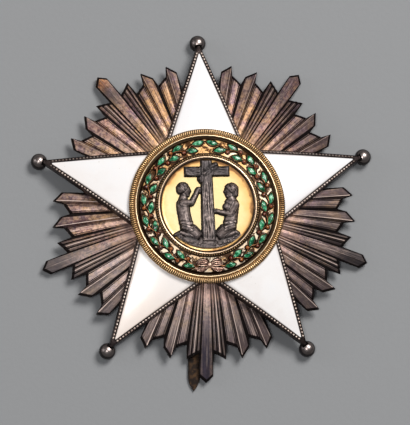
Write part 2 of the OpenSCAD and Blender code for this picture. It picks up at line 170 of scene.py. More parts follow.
toward_camera = Vector((
    math.sin(CAMERA_TILT) * math.cos(CAMERA_SIDE),
    math.sin(CAMERA_TILT) * math.sin(CAMERA_SIDE),
    math.cos(CAMERA_TILT),
))
level_right = (-toward_camera).cross(Vector((0, 1, 0))).normalized()
level_up = level_right.cross(-toward_camera)
view_right = math.cos(CAMERA_ROLL) * level_right + math.sin(CAMERA_ROLL) * level_up
view_up = -math.sin(CAMERA_ROLL) * level_right + math.cos(CAMERA_ROLL) * level_up
aim = Vector((0, 0, BALL_CENTRE_Z * MM))
aim += view_right * (IMAGE_PX[0] / 2 - STAR_CENTRE_PX[0]) / PX_PER_MM * MM
aim -= view_up * (IMAGE_PX[1] / 2 - STAR_CENTRE_PX[1]) / PX_PER_MM * MM
camera_data = bpy.data.cameras.new("camera")
camera_data.sensor_fit = "VERTICAL"
camera_data.sensor_height = SENSOR
camera_data.lens = PX_PER_MM / MM * CAMERA_DISTANCE * SENSOR / IMAGE_PX[1]
camera = bpy.data.objects.new("camera", camera_data)
camera.matrix_world = Matrix.Translation(aim + toward_camera * CAMERA_DISTANCE) @ Matrix(
    (view_right, view_up, toward_camera)).transposed().to_4x4()
bpy.context.scene.collection.objects.link(camera)
bpy.context.scene.camera = camera


def soft_lamp(name, right, up, out, distance, size, power, colour=(1, 1, 1)):
    """Square soft lamp, placed by its direction as the camera sees it, and aimed at the star."""
    direction = (view_right * right + view_up * up + toward_camera * out).normalized()
    lamp_data = bpy.data.lights.new(name, "AREA")
    lamp_data.shape = "SQUARE"
    lamp_data.size = size
    lamp_data.energy = power
    lamp_data.color = colour
    lamp = bpy.data.objects.new(name, lamp_data)
    lamp.matrix_world = Matrix.Translation(direction * distance) @ direction.to_track_quat(
        "Z", "Y").to_matrix().to_4x4()
    bpy.context.scene.collection.objects.link(lamp)


soft_lamp("key_lamp", 0.55, 0.75, 1.0, 1.1, 0.45, 11.0, (1, 0.985, 0.96))
soft_lamp("top_lamp", -0.12, 0.05, 1.0, 1.3, 0.2, 4.0)
soft_lamp("side_lamp", -1.0, 0.3, 0.55, 1.2, 0.5, 1.5, (0.95, 0.97, 1))
world = bpy.data.worlds.new("studio")
world.use_nodes = True
feed(world.node_tree, world.node_tree.nodes["Background"], {"Color": (0.55, 0.56, 0.58), "Strength": 0.24})
bpy.context.scene.world = world
bpy.context.scene.view_settings.view_transform = "Standard"

# Ray plate
# Silver plate, raised into a shallow vault and chased into five fans of pointed rays. Its ridges
# are rubbed bright, worn and with painted highlights, and its grooves are black, with painted shade
# on the cut edge and beside the grooves; years of toning left it brown, pink and gold.
VAULT_R = 145.0
EDGE_R = 44.0
EDGE_Z = 1.45
PLATE_T = 0.7
RIDGE_H = 0.85
HUB_R = 12.0
BORE_R = 1.75
ARMS = 5
TURN = 2 * math.pi / ARMS
UNDER_ARM_R = 27.0
# Sections across a ray, from groove to groove: (share of its width, share of the ridge's height)
SHARP_RAY = [
    (0.05, 0.1), (0.09, 0.2), (0.2, 0.36), (0.235, 0.3), (0.27, 0.44), (0.44, 0.8), (0.485, 1.0),
    (0.515, 1.0), (0.56, 0.8), (0.73, 0.5), (0.8, 0.4), (0.91, 0.2), (0.95, 0.1), (1, 0),
]
BROAD_RAY = [
    (0.05, 0.22), (0.085, 0.5), (0.13, 0.55), (0.165, 0.36), (0.2, 0.52), (0.35, 0.6),
    (0.5, 0.64), (0.65, 0.6), (0.8, 0.52), (0.835, 0.36), (0.87, 0.55), (0.915, 0.5),
    (0.95, 0.22), (1, 0),
]
FLUTED_RAY = [
    (0.05, 0.15), (0.18, 0.62), (0.21, 0.66), (0.3, 0.34), (0.36, 0.4), (0.47, 0.95), (0.5, 1.0),
    (0.53, 0.95), (0.64, 0.4), (0.7, 0.34), (0.79, 0.66), (0.82, 0.62), (0.95, 0.15), (1, 0),
]
HALF_LONG_RAY = [
    (0.03, 1.0), (0.1, 0.88), (0.45, 0.66), (0.49, 0.57), (0.86, 0.32), (0.93, 0.12), (1, 0),
]
# Rays of half a fan, from its middle outward: the ray's section, and where it starts, peaks and
# ends on the outline, as (across, out) from the star's centre
HALF_FAN = [
    (HALF_LONG_RAY, (0, 44.1), None, (1.78, 42.5)),
    (FLUTED_RAY, (1.75, 36.7), (3.4, 37.4), (5.05, 38.25)),
    (BROAD_RAY, (5.05, 34.4), (6.5, 34.85), (7.96, 35.35)),
    (SHARP_RAY, (7.96, 35.35), (9.23, 38.0), (11.0, 35.2)),
    (BROAD_RAY, (10.8, 32.7), (12.35, 33.05), (13.9, 33.4)),
    (SHARP_RAY, (13.9, 33.4), (15.54, 35.5), (16.86, 32.7)),
]
LAST_GROOVE = (14.4, 27.0)
# The star is made by hand: how far each fan, from the upper right one to the left around, leans
FAN_LEAN = (-0.2, 0.3, 0.7, -0.8, -0.4)
PLATE_STEPS = 26
# The ridge of the longest rays was rubbed less than the others, and its painted highlight is weaker
LONG_RAY_CREST = 0.88
# Lines under this share of a ridge's height are grooves, which are black. The lines beside them are
# partly black, a painted soft shadow, more so on the longest rays.
GROOVE_TOP_SHARE = 0.05
BESIDE_GROOVE_SHADE = 0.3
BESIDE_LONG_RAY_GROOVE_SHADE = 0.6
# The cut edge of the plate, from its rim inward: (distance from the outline, drop). Its first rows
# are black, painted shade along the plate's edge.
EDGE_SECTION = [(0, 0.22), (0.04, 0.06), (0.25, 0), (0.55, 0), (0.8, 0)]


def vault_z(r):
    """Height of the plate's grooves at a distance r from the centre."""
    return EDGE_Z + math.sqrt(VAULT_R**2 - r**2) - math.sqrt(VAULT_R**2 - EDGE_R**2)


def half_fan_stations():
    """Lines out along half a fan: (angle from its middle, end radius, height, ray number)."""
    def line_to(place, height, number):
        return math.atan2(place.x, place.y), place.length, height, number

    lines = [(0.0, HALF_FAN[0][1][1], 1.0, 0)]
    for number, (section, start, peak, end) in enumerate(HALF_FAN):
        start, end = Vector(start), Vector(end)
        peak = Vector(peak) if peak else None
        if number:
            lines.append(line_to(start, 0.0, number))
        for share, height in section:
            if peak is None:
                place = start.lerp(end, share)
            elif share < 0.5:
                place = start.lerp(peak, share * 2)
            else:
                place = peak.lerp(end, share * 2 - 1)
            lines.append(line_to(place, height, number))
    return lines + [line_to(Vector(LAST_GROOVE), 0.0, len(HALF_FAN))]


def stamp(bm, template, matrix):
    """Adds a copy of a template mesh."""
    copy = template.copy()
    copy.transform(matrix)
    bm.from_mesh(copy)
    bpy.data.meshes.remove(copy)


def template_of(bm, name):
    template = bpy.data.meshes.new(name)
    bm.to_mesh(template)
    bm.free()
    return template


def pour(bm, shape):
    """Moves a finished shape into a mesh."""
    template = template_of(shape, "shape")
    bm.from_mesh(template)
    bpy.data.meshes.remove(template)


def new_layer(bm, name):
    """A number for each vertex, which the piece's material reads under this name."""
    return bm.verts.layers.float.new(name)


def sheet(bm, rows, through=False, layer=None, values=()):
    """Faces woven through rows of places, each row closed to a ring; through joins the last row to the
    first. Sets the layer to the values along each row, and returns the rows of vertices."""
    rows = [[*row, row[0]] for row in (rows + rows[:1] if through else rows)]
    count = len(rows[0])
    grid = bmesh.ops.create_grid(bm, x_segments=count - 1, y_segments=len(rows) - 1, size=1)["verts"]
    woven = [grid[k * count:(k + 1) * count] for k in range(len(rows))]
    for line, row in zip(woven, rows):
        for vert, place in zip(line, row):
            vert.co = place
    merged = {line[-1]: line[0] for line in woven}
    if through:
        merged.update({last: merged.get(first, first) for last, first in zip(woven[-1], woven[0])})
    bmesh.ops.weld_verts(bm, targetmap=merged)
    for line in woven:
        for vert, value in zip(line, values):
            vert[layer] = value
    return woven


def finish_piece(name, bm, material, slot, crease, *replaced):
    """Writes a bmesh in millimetres to an object that rides on the star, in the place of the replaced
    nodes. Edges of more than crease degrees stay sharp."""
    bmesh.ops.recalc_face_normals(bm, faces=bm.faces)
    bmesh.ops.scale(bm, vec=(MM, MM, MM), verts=bm.verts)
    mesh = bpy.data.meshes.new(name)
    bm.to_mesh(mesh)
    bm.free()
    mesh.shade_smooth()
    mesh.set_sharp_from_angle(angle=math.radians(crease))
    mesh.materials.append(material)
    piece = bpy.data.objects.new(name, mesh)
    bpy.context.scene.collection.objects.link(piece)
    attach(piece, "root")
    if replaced:
        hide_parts(*replaced)


def effect_group(name, inputs, outputs):
    """A shader node group: itself, a shade for each input, and the node that takes its results."""
    group = bpy.data.node_groups.new(name, "ShaderNodeTree")
    for label, value in inputs.items():
        is_colour = isinstance(value, tuple)
        kind = "NodeSocketColor" if is_colour else "NodeSocketFloat"
        socket = group.interface.new_socket(label, in_out="INPUT", socket_type=kind)
        socket.default_value = (*value, 1) if is_colour else value
    for label, kind in outputs.items():
        group.interface.new_socket(label, in_out="OUTPUT", socket_type=kind)
    given = group.nodes.new("NodeGroupInput")
    return group, {label: Shade(group, given, label) for label in inputs}, group.nodes.new("NodeGroupOutput")


def axes(tree):
    """The x, y and z of a place, in metres from the star's centre."""
    split = add_node(tree, "ShaderNodeSeparateXYZ", {"Vector": object_place(tree)})
    return [Shade(tree, split, axis) for axis in "XYZ"]


def reach_from(tree, x=0.0, y=0.0):
    """Distance of a place from the upright line through (x, y)."""
    right, up, _ = axes(tree)
    flat = new_shade(tree, "ShaderNodeCombineXYZ", "Vector", {"X": right, "Y": up})
    return new_shade(tree, "ShaderNodeVectorMath", "Value", {0: flat, 1: (x, y, 0)}, operation="DISTANCE")


def spot_mask(tree, x, y, inner, outer):
    """1 within inner metres of a place over the star, falling to 0 at outer."""
    return reach_from(tree, x, y).fit(inner, outer, 1, 0)


def attribute(tree, name):
    return new_shade(tree, "ShaderNodeAttribute", "Fac", attribute_name=name)


# Toning: clouds of two tarnish colours over a metal, with fine specks where it has worn through
toning, given, result = effect_group(
    "toning",
    {"Metal": (0.7, 0.6, 0.55), "Tone": (0.3, 0.2, 0.15), "Deep Tone": (0.1, 0.07, 0.06),
     "Amount": 0.5, "Cloud Scale": 150.0, "Speck Scale": 1800.0},
    {"Color": "NodeSocketColor", "Cloud": "NodeSocketFloat"})
clouds = noise_value(toning, given["Cloud Scale"], 5.0, 0.62) + (given["Amount"] - 0.5)
specks = noise_value(toning, given["Speck Scale"], 3.0, 0.7)
tarnish = clouds.fit(0.36, 0.62).blend(given["Metal"], given["Tone"])
tarnish = tarnish.under(clouds.fit(0.55, 0.78, 0, 0.8), given["Deep Tone"])
tarnish = tarnish.under(specks.fit(0.62, 0.72, 0, 0.6), given["Metal"])
feed(toning, result, {"Color": tarnish, "Cloud": clouds})


def toned(tree, metal, tone, deep_tone, amount, cloud_scale, speck_scale):
    """The toned metal's colour, and the clouds of its tarnish."""
    node = add_node(tree, "ShaderNodeGroup", {
        "Metal": metal, "Tone": tone, "Deep Tone": deep_tone, "Amount": amount,
        "Cloud Scale": cloud_scale, "Speck Scale": speck_scale}, node_tree=toning)
    return Shade(tree, node, "Color"), Shade(tree, node, "Cloud")


def satin(clouds, smooth, dull):
    """Roughness of a toned metal, from smooth to dull with the clouds of its tarnish."""
    return clouds.fit(0.3, 0.7, smooth, dull)


# Grain drawn out from the centre, as fine chased strokes; Stretch below 1 makes the strokes longer.
# Around the star, the strokes are as far apart as they are on a circle of this radius, in metres.
STROKE_CIRCLE = 0.03
radial_grain, given, result = effect_group(
    "radial_grain", {"Scale": 2500.0, "Stretch": 0.06, "Detail": 3.0}, {"Value": "NodeSocketFloat"})
right, up, _ = axes(radial_grain)
around = right.apply("ARCTAN2", up * -1.0) * STROKE_CIRCLE
drawn = new_shade(radial_grain, "ShaderNodeCombineXYZ", "Vector", {
    "X": around, "Y": reach_from(radial_grain) * given["Stretch"]})
feed(radial_grain, result, {"Value": noise_value(radial_grain, given["Scale"], given["Detail"], 0.6, drawn)})


def radial_strokes(tree, scale, stretch, detail=3.0):
    inputs = {"Scale": scale, "Stretch": stretch, "Detail": detail}
    return new_shade(tree, "ShaderNodeGroup", "Value", inputs, node_tree=radial_grain)


ROSE_SILVER = (0.8, 0.51, 0.42)
BROWN_TONE = (0.43, 0.255, 0.2)
GOLD_TONE = (0.6, 0.33, 0.13)
ORANGE_TONE = (0.6, 0.24, 0.075)
SLATE_TONE = (0.06, 0.047, 0.056)
UMBER_TONE = (0.17, 0.105, 0.092)
GROOVE_BLACK = (0.008, 0.005, 0.005)
RIDGE_WEAR_AND_HIGHLIGHT = (0.86, 0.67, 0.59)
REDDISH_FILM = (0.47, 0.22, 0.2)
OLIVE_FILM = (0.42, 0.29, 0.15)
GOLDEN_FILM = (0.62, 0.36, 0.15)
VIOLET_FILM = (0.27, 0.175, 0.22)
BARE_FLECK = (0.78, 0.52, 0.37)
DARK_FLECK = (0.1, 0.06, 0.07)
LOW_GREY = (0.115, 0.105, 0.105)
BARE_SILVER = (0.55, 0.49, 0.47)
ROSE_PAINTED_LIGHT = (0.9, 0.61, 0.52)
GOLD_PAINTED_LIGHT = (0.8, 0.5, 0.23)
END_BROWN = (0.085, 0.06, 0.06)
LINE_HIGHLIGHT = (0.62, 0.48, 0.42)
SLOPE_PAINTED_SHADE = (0.035, 0.03, 0.052)
# Places where the toning is deeper or thinner than around them: (x, y, inner, outer, change)
TONING_SPOTS = [
    (0.038, 0.001, 0.004, 0.018, 0.66), (0, -0.044, 0.005, 0.016, 0.5),
    (0.0375, -0.0125, 0.002, 0.009, 0.6), (-0.038, -0.0148, 0.003, 0.01, 0.5),
    (-0.034, -0.0005, 0.002, 0.01, 0.52), (-0.0128, 0.029, 0.002, 0.011, 0.72),
    (0.0249, -0.0113, 0.003, 0.01, -0.2),
]
# The darker right fan, the black tips of the long rays at the right and the left, and a grey band
# below the orange tip: (x, y, inner, outer, share, colour)
DARK_SPOTS = [
    (0.0335, -0.003, 0.002, 0.011, 0.3, (0.05, 0.034, 0.028)),
    (0.04, -0.0134, 0.003, 0.0075, 0.8, (0.03, 0.026, 0.028)),
    (-0.039, -0.0152, 0.002, 0.0085, 0.6, (0.05, 0.038, 0.048)),
    (-0.0228, 0.03, 0.001, 0.0042, 0.55, (0.17, 0.13, 0.11)),
]

ray_silver, tree, shader = new_material("toned_ray_silver")
crest, tone, ink = (attribute(tree, name) for name in ("crest", "tone", "ink"))
right, up, _ = axes(tree)
away = new_shade(tree, "ShaderNodeVectorMath", "Value", {0: object_place(tree)}, operation="LENGTH")
grain = radial_strokes(tree, 1500.0, 0.07)
hairlines = radial_strokes(tree, 3600.0, 0.03, 2.0)
patch = noise_value(tree, 95, 3, 0.55)
deep, _ = toned(tree, BROWN_TONE, UMBER_TONE, SLATE_TONE, 0.52, 170.0, 1500.0)
rose, rose_clouds = toned(tree, ROSE_SILVER, BROWN_TONE, UMBER_TONE, 0.47, 210.0, 1300.0)
# The toning deepens toward the ends of the rays, most of all at the right and at the bottom
low_right = right * 1.3 - up * 0.35
low_left = right + up * 0.6
darkness = away.fit(0.022, 0.041) * low_right.fit(-0.045, 0.02, 0.62, 1.0)
darkness += low_right.fit(-0.04, 0.045, -0.14, 0.55)
darkness += away.fit(0.034, 0.04, 0, 0.4)
darkness -= low_left.fit(-0.006, -0.032, 0, 0.4)
for x, y, inner, outer, change in TONING_SPOTS:
    darkness += spot_mask(tree, x, y, inner, outer) * change
darkness += (tone - 0.5) * 0.35
darkness += (patch - 0.5) * 0.9
colour = darkness.fit(0.02, 0.55).blend(rose, deep)
colour = colour.under(darkness.fit(0.45, 1.15, 0, 0.85), SLATE_TONE)
# Golden toning lies on both sides of the top arm, and thinly elsewhere
left_of_arm = spot_mask(tree, -0.012, 0.027, 0.003, 0.013) * 0.9
gold_near = left_of_arm.apply("MAXIMUM", spot_mask(tree, 0.012, 0.025, 0.001, 0.012) * 0.8)
around_case = away.fit(0.02, 0.031, 1, 0) * up.fit(0.004, 0.012)
gold_near = gold_near.apply("MAXIMUM", around_case * 0.9)
gold_share = gold_near * 0.33 + patch + (tone - 0.5) * 0.24 + (grain - 0.5) * 0.5
colour = colour.under(gold_share.fit(0.7, 0.88, 0, 0.8), GOLD_TONE)
# Strokes of the graver: broad ones lighter, with wear and painted highlight, and darker; hairlines black
where_light = darkness.fit(0.5, 1.3, 1, 0.4)
colour = colour.under(grain.fit(0.5, 0.68, 0, 0.5) * where_light, RIDGE_WEAR_AND_HIGHLIGHT)
colour = colour.under(grain.fit(0.48, 0.36, 0, 0.62), UMBER_TONE)
colour = colour.under(hairlines.fit(0.425, 0.375, 0, 0.9), GROOVE_BLACK)
# Films of colour in clouds, thinner where the silver is dark
where_thin = darkness.fit(0.1, 0.9, 1, 0.22)
broad_hue = noise_value(tree, 165, 3, 0.55)
hue = noise_value(tree, 420, 3, 0.6)
for clouds, start, full, share, thinned, film in (
        (broad_hue, 0.53, 0.62, 0.5, where_thin, REDDISH_FILM),
        (broad_hue, 0.47, 0.38, 0.45, where_thin, OLIVE_FILM),
        (hue, 0.54, 0.63, 0.65, where_thin, GOLDEN_FILM),
        (hue, 0.46, 0.38, 0.65, where_light, VIOLET_FILM)):
    colour = colour.under(clouds.fit(start, full, 0, share) * thinned, film)
# One tip at the upper left is orange, and all rays are flecked
colour = colour.under(spot_mask(tree, -0.0262, 0.0345, 0.0015, 0.004) * 0.6, ORANGE_TONE)
mottled = noise_value(tree, 1250, 4, 0.7)
colour = colour.under(mottled.fit(0.53, 0.59, 0, 0.6) * where_thin, BARE_FLECK)
colour = colour.under(mottled.fit(0.48, 0.42, 0, 0.68), DARK_FLECK)
# At the bottom and the lower right the silver is greyer
grey_part = up.fit(-0.018, -0.032).apply("MAXIMUM", (right - up).fit(0.022, 0.036))
colour = colour.under(grey_part * 0.36, LOW_GREY)
# Below the left arm and between the lower arms the silver is less toned
bare = up.fit(-0.006, -0.011) * up.fit(-0.036, -0.031)
bare *= right.fit(0.012, 0.002, 0, 0.22) + right.fit(-0.006, -0.026, 0, 0.25)
colour = colour.under(bare, BARE_SILVER)
# All fans are brighter beside the case, most at the lower left: painted light that lifts the case's
# shadow, rose below and gold above. The short rays at a fan's sides are darker at their ends.
case_shadow_lift = away.fit(0.027, 0.02) * (low_left.fit(-0.004, -0.012, 0, 0.3) + 0.42)
colour = colour.under(case_shadow_lift, up.fit(-0.004, 0.006).blend(ROSE_PAINTED_LIGHT, GOLD_PAINTED_LIGHT))
fan_side = (up.apply("ARCTAN2", right) * ARMS).apply("SINE").fit(-0.8, -0.5)
far_out = (up.fit(-0.02, -0.028, 0, 0.22) + 0.42) * (away.fit(0.026, 0.034) * fan_side)
colour = colour.under(far_out * (up - right).fit(0.03, 0.01, 0.4, 1), END_BROWN)
# Pale hairlines at the bottom and the lower right: painted highlights
colour = colour.under(hairlines.fit(0.575, 0.625, 0, 0.5) * grey_part, LINE_HIGHLIGHT)
# The left slope of the lowest long ray is dark slate: painted shade on the side away from the light
shaded_left_slope = right.fit(0.0001, -0.0001) * right.fit(-0.0019, -0.0017) * up.fit(-0.024, -0.034, 0, 0.75)
colour = colour.under(shaded_left_slope, SLOPE_PAINTED_SHADE)
for x, y, inner, outer, share, film in DARK_SPOTS:
    colour = colour.under(spot_mask(tree, x, y, inner, outer) * share, film)
# The ridges are rubbed bright, worn and with painted highlights, and the grooves stay black, less so
# beside the case
rubbed_and_highlit = (crest + grain * 0.4).fit(1.04, 1.16, 0, 0.95)
rubbed_and_highlit *= darkness.fit(0.2, 1.0, 1, 0.45)
rubbed_and_highlit *= up.fit(0.004, 0.018, 1, 0.4)
rubbed_and_highlit *= grey_part.fit(0, 1, 1, 1.45)
black = ink.fit(0.2, 0.5, 0, 0.98) * away.fit(0.019, 0.026, 0.5, 1)
chasing = grain + hairlines * 0.5 + noise_value(tree, 2600, 4, 0.6) * 0.3
feed(tree, shader, {
    "Base Color": colour.under(rubbed_and_highlit, RIDGE_WEAR_AND_HIGHLIGHT).under(black, GROOVE_BLACK),
    "Metallic": rubbed_and_highlit.fit(0, 1, 0.8, 0.3),
    "Roughness": satin(rose_clouds, 0.42, 0.56) + black * 0.4 + low_right.fit(-0.02, 0.01, 0, 0.1),
    "Normal": bump(chasing, 0.00012, 0.8)})

random.seed(7)
# Lines from the middle of one fan, under the arm beside it, to the middle of the next fan
half = half_fan_stations()
around_arm = half + [(TURN / 2, UNDER_ARM_R, 0.0, len(HALF_FAN))]
around_arm += [(TURN - angle, reach, height, -ray) for angle, reach, height, ray in reversed(half[1:])]
bm = bmesh.new()
crest_layer, tone_layer, ink_layer = (new_layer(bm, name) for name in ("crest", "tone", "ink"))
columns = []
for arm in range(ARMS):
    # Each ray has a tone of its own
    tones = {}
    for angle, reach, height, ray in around_arm:
        tones.setdefault(ray, random.random())
        leaning = FAN_LEAN[arm if angle < TURN / 2 else (arm + 1) % ARMS]
        lean = 0 if angle == TURN / 2 else leaning / EDGE_R
        columns.append((math.pi / 2 - TURN / 2 + TURN * arm + angle + lean, reach, height, tones[ray], ray))


def plate_row(fraction, top, inset=0.0, drop=0.0):
    """Places around the plate at a fraction of the way out, less inset."""
    row = []
    for angle, reach, height, _, _ in columns:
        r = HUB_R + (reach - HUB_R) * fraction - inset
        z = vault_z(r) + (height * RIDGE_H * r / EDGE_R - drop if top else -PLATE_T)
        row.append(Vector((r * math.cos(angle), r * math.sin(angle), z)))
    return row


def plate_bore(drop):
    z = vault_z(BORE_R) - drop
    return [Vector((BORE_R * math.cos(a), BORE_R * math.sin(a), z)) for a, _, _, _, _ in columns]


outward = [k / PLATE_STEPS for k in range(PLATE_STEPS + 1)]
# Under the plate, over its cut edge and back in along its top
rows = [plate_bore(PLATE_T)] + [plate_row(f, False) for f in outward[::2]]
under_rows = len(rows)
rows += [plate_row(1, True, inset, drop) for inset, drop in EDGE_SECTION]
rows += [plate_row(f, True) for f in reversed(outward[:-1])] + [plate_bore(0)]
woven = sheet(bm, rows, through=True)
# Black lies in each groove and on the cut edge, and a little of it beside the grooves; on the cut
# edge and beside the grooves the black is painted shade.
heights = [height for _, _, height, _, _ in columns]
inks = [1 if height < GROOVE_TOP_SHARE or heights[k - 1] > height < heights[(k + 1) % len(heights)] else 0
        for k, height in enumerate(heights)]
for k, height in enumerate(heights):
    beside = [heights[j % len(heights)] for j in (k - 1, k + 1) if inks[j % len(heights)] == 1]
    if inks[k] == 0 and beside:
        inks[k] = BESIDE_GROOVE_SHADE if columns[k][4] else BESIDE_LONG_RAY_GROOVE_SHADE
for number, line in enumerate(woven[:-1]):
    on_top = number >= under_rows
    in_edge_shade = under_rows <= number < under_rows + len(EDGE_SECTION) - 1
    for vert, (_, _, height, tone_value, ray), groove in zip(line, columns, inks):
        vert[crest_layer] = height * (1 if ray else LONG_RAY_CREST) if on_top else 0.5
        vert[tone_layer] = tone_value if on_top else 0.5
        vert[ink_layer] = 1 if in_edge_shade else groove if on_top else 0
finish_piece("ray_plate_chased", bm, ray_silver, "ray_silver", 20, "ray_plate")

# Star
# One cast piece of dark silver that rests on the ridges of the plate: a shallow tray for each
# arm's enamel, with a rim around it. A channel along the rim holds a row of fine bright beads.
ARM_REACH = 41.2
ARM_ANGLE = math.radians(20.1)
ARM_H = 2.6
ARM_LEAN = (0, 0, 0, -0.7, 0)
LEAN_FROM = 16.0
BALL_REACH = 44.0
RIM_W = 0.9
ENAMEL_D = ARM_REACH * math.sin(ARM_ANGLE)
RIM_D = ENAMEL_D + RIM_W
ENAMEL_T = 0.8
GAP = 0.05
RIDGE_GAP = 0.1
FOOT_SPREAD = 0.15
TIP_CUT = 0.85
SEAT_Z = 9.8
BOSS_R = 16.5
EDGE_STEPS = 26
# Across the rim from its outer wall: (distance inward, height over the arm's own height)
CHANNEL_H = -0.16
RIM_SECTION = [
    (0, -0.14), (0.04, -0.03), (0.1, 0.0), (0.16, -0.04), (0.21, -0.2), (0.45, CHANNEL_H),
    (0.69, -0.2), (0.74, -0.04), (0.8, 0.0), (0.86, -0.03), (0.9, -0.16),
]
BEAD_PITCH = 0.87
BEAD_SIZE = (0.29, 0.22, 0.24)
BEAD_INSET = 0.45
FIRST_BEAD_R = 19.2


def leaned(x, y, arm):
    """Place in an arm's own frame, where it points along +X, with the arm's lean."""
    return x, y + ARM_LEAN[arm] * max(0, x - LEAN_FROM) / (BALL_REACH - LEAN_FROM)


def arm_matrix(arm):
    return Matrix.Rotation(math.pi / 2 + TURN * arm, 4, "Z")


def edge_point(inset_d, cut, share):
    """Point of an arm's edge, from the inner corner, 0, to the tip, 1."""
    tip = inset_d / math.sin(ARM_ANGLE)
    slope = math.tan(TURN / 2)
    whole = tip * slope / (math.sin(ARM_ANGLE) + slope * math.cos(ARM_ANGLE))
    run = whole + (cut / math.cos(ARM_ANGLE) - whole) * share
    return tip - run * math.cos(ARM_ANGLE), run * math.sin(ARM_ANGLE)


def star_outline(inset_d, cut):
    """Outline of the star, from arm to arm."""
    outline = []
    for arm in range(ARMS):
        turn_arm = arm_matrix(arm)
        for k in range(EDGE_STEPS + 1):
            x, y = edge_point(inset_d, cut, k / EDGE_STEPS)
            outline.append(turn_arm @ Vector((*leaned(x, -y, arm), 0)))
        for k in range(EDGE_STEPS, 0, -1):
            x, y = edge_point(inset_d, cut, k / EDGE_STEPS)
            outline.append(turn_arm @ Vector((*leaned(x, y, arm), 0)))
    return outline


def fine_grain(tree, scale, depth, strength=0.6, detail=4):
    """The slight unevenness of a cast or polished metal."""
    return bump(noise_value(tree, scale, detail, 0.6), depth, strength)


def over_vault(outline, height):
    """The outline at a height over the plate's grooves, and flat where the case sits."""
    return [Vector((p.x, p.y, min(vault_z(p.xy.length) + height, SEAT_Z))) for p in outline]


def on_ridges(outline):
    """The outline on the plate's ridges, which rise toward its edge."""
    row = []
    for p in outline:
        r = p.xy.length
        row.append(Vector((p.x, p.y, vault_z(r) + RIDGE_H * r / EDGE_R + RIDGE_GAP)))
    return row


def round_outline(outline, r, z):
    return [Vector((p.x * r / p.xy.length, p.y * r / p.xy.length, z)) for p in outline]


def between(one, two, share):
    return [a.lerp(b, share) for a, b in zip(one, two)]


def scaled(outline, share):
    return [p * share for p in outline]


star_silver, tree, shader = new_material("dark_star_silver")
metal, clouds = toned(
    tree, (0.075, 0.056, 0.051), (0.028, 0.019, 0.018), (0.01, 0.007, 0.007), 0.55, 260.0, 2200.0)
feed(tree, shader, {
    "Base Color": metal, "Metallic": 0.8, "Roughness": satin(clouds, 0.32, 0.5),
    "Normal": fine_grain(tree, 3000, 0.00003)})

# From the bore out along the underside, up the rim and over its channel, down into the trays, up the
# step that the case sits on, and back to the bore
foot = star_outline(RIM_D + FOOT_SPREAD, TIP_CUT + FOOT_SPREAD)
inner = star_outline(ENAMEL_D, TIP_CUT / 2)
tray_h = ARM_H - ENAMEL_T - GAP
boss = round_outline(inner, BOSS_R, 0)
rows = [on_ridges(round_outline(foot, BORE_R, 0))]
rows += [on_ridges(scaled(foot, share)) for share in (0.25, 0.4, 0.55, 0.7, 0.85, 1)]
for inward, height in RIM_SECTION:
    cut = TIP_CUT + (TIP_CUT / 2 - TIP_CUT) * inward / RIM_W
    rows.append(over_vault(star_outline(RIM_D - inward, cut), ARM_H + height))
rows += [over_vault(between(inner, boss, share), tray_h) for share in (0, 0.2, 0.4, 0.6, 0.8, 1)]
rows += [round_outline(inner, BOSS_R, SEAT_Z), round_outline(inner, BORE_R, SEAT_Z)]
bm = bmesh.new()
sheet(bm, rows, through=True)
finish_piece("star_body_cast", bm, star_silver, "star_silver", 28, "star_body")

bead_silver, tree, shader = new_material("bright_bead_silver")
bright, _ = toned(tree, (0.93, 0.8, 0.7), (0.6, 0.44, 0.36), (0.16, 0.11, 0.1), 0.5, 560.0, 2500.0)
# The rows on the upper edges of the two side arms are dark
right, up, _ = axes(tree)
upper_edge = up.fit(0.0108, 0.0114) * up.fit(0.015, 0.0156, 1, 0)
dark_upper_rows = upper_edge * right.apply("ABSOLUTE").fit(0.013, 0.015, 0, 0.75)
feed(tree, shader, {
    "Base Color": bright.under(dark_upper_rows, (0.05, 0.03, 0.026)), "Metallic": 0.35, "Roughness": 0.33})

shape = bmesh.new()
bmesh.ops.create_uvsphere(shape, u_segments=8, v_segments=6, radius=1)
round_bead = template_of(shape, "round_bead")
bm = bmesh.new()
for arm in range(ARMS):
    for side in (-1, 1):
        tip = (RIM_D - BEAD_INSET) / math.sin(ARM_ANGLE)
        run = (TIP_CUT + BEAD_PITCH) / math.cos(ARM_ANGLE)
        while tip - run * math.cos(ARM_ANGLE) > 0:
            x, y = leaned(tip - run * math.cos(ARM_ANGLE), side * run * math.sin(ARM_ANGLE), arm)
            r = math.hypot(x, y)
            if r < FIRST_BEAD_R:
                break
            z = vault_z(r) + ARM_H + CHANNEL_H + BEAD_SIZE[2] * 0.8
            along_rim = Matrix.Rotation(-side * ARM_ANGLE, 4, "Z")
            sloped = Matrix.Rotation(math.asin(r / VAULT_R), 4, "Y")
            place = arm_matrix(arm) @ Matrix.Translation((x, y, z)) @ along_rim @ sloped
            stamp(bm, round_bead, place @ Matrix.Diagonal((*BEAD_SIZE, 1)))
            run += BEAD_PITCH
finish_piece("arm_edge_beads", bm, bead_silver, "star_silver", 80)

# Enamel
# Opaque white glass fired into the tray of each arm and ground to a low crown. Its surface is
# polished, with a few pinholes, and it is warmer and darker near the edges, where the glass is thin
# and a painted shade lies along the rim. Toward the upper right it is a little greyer, as painted shade.
ENAMEL_START = 17.4
ENAMEL_TIP_CUT = 0.5
ENAMEL_CROWN = 0.22
ENAMEL_STEPS = 40
# Across half an arm, from its middle: (share of the half width, share of the crown, drop in mm)
ENAMEL_SECTION = [
    (0, 1, 0), (0.2, 0.95, 0), (0.4, 0.82, 0), (0.6, 0.62, 0), (0.8, 0.32, 0), (0.9, 0.14, 0),
    (0.96, 0.02, 0.02), (0.985, 0, 0.07), (1, 0, 0.16),
]

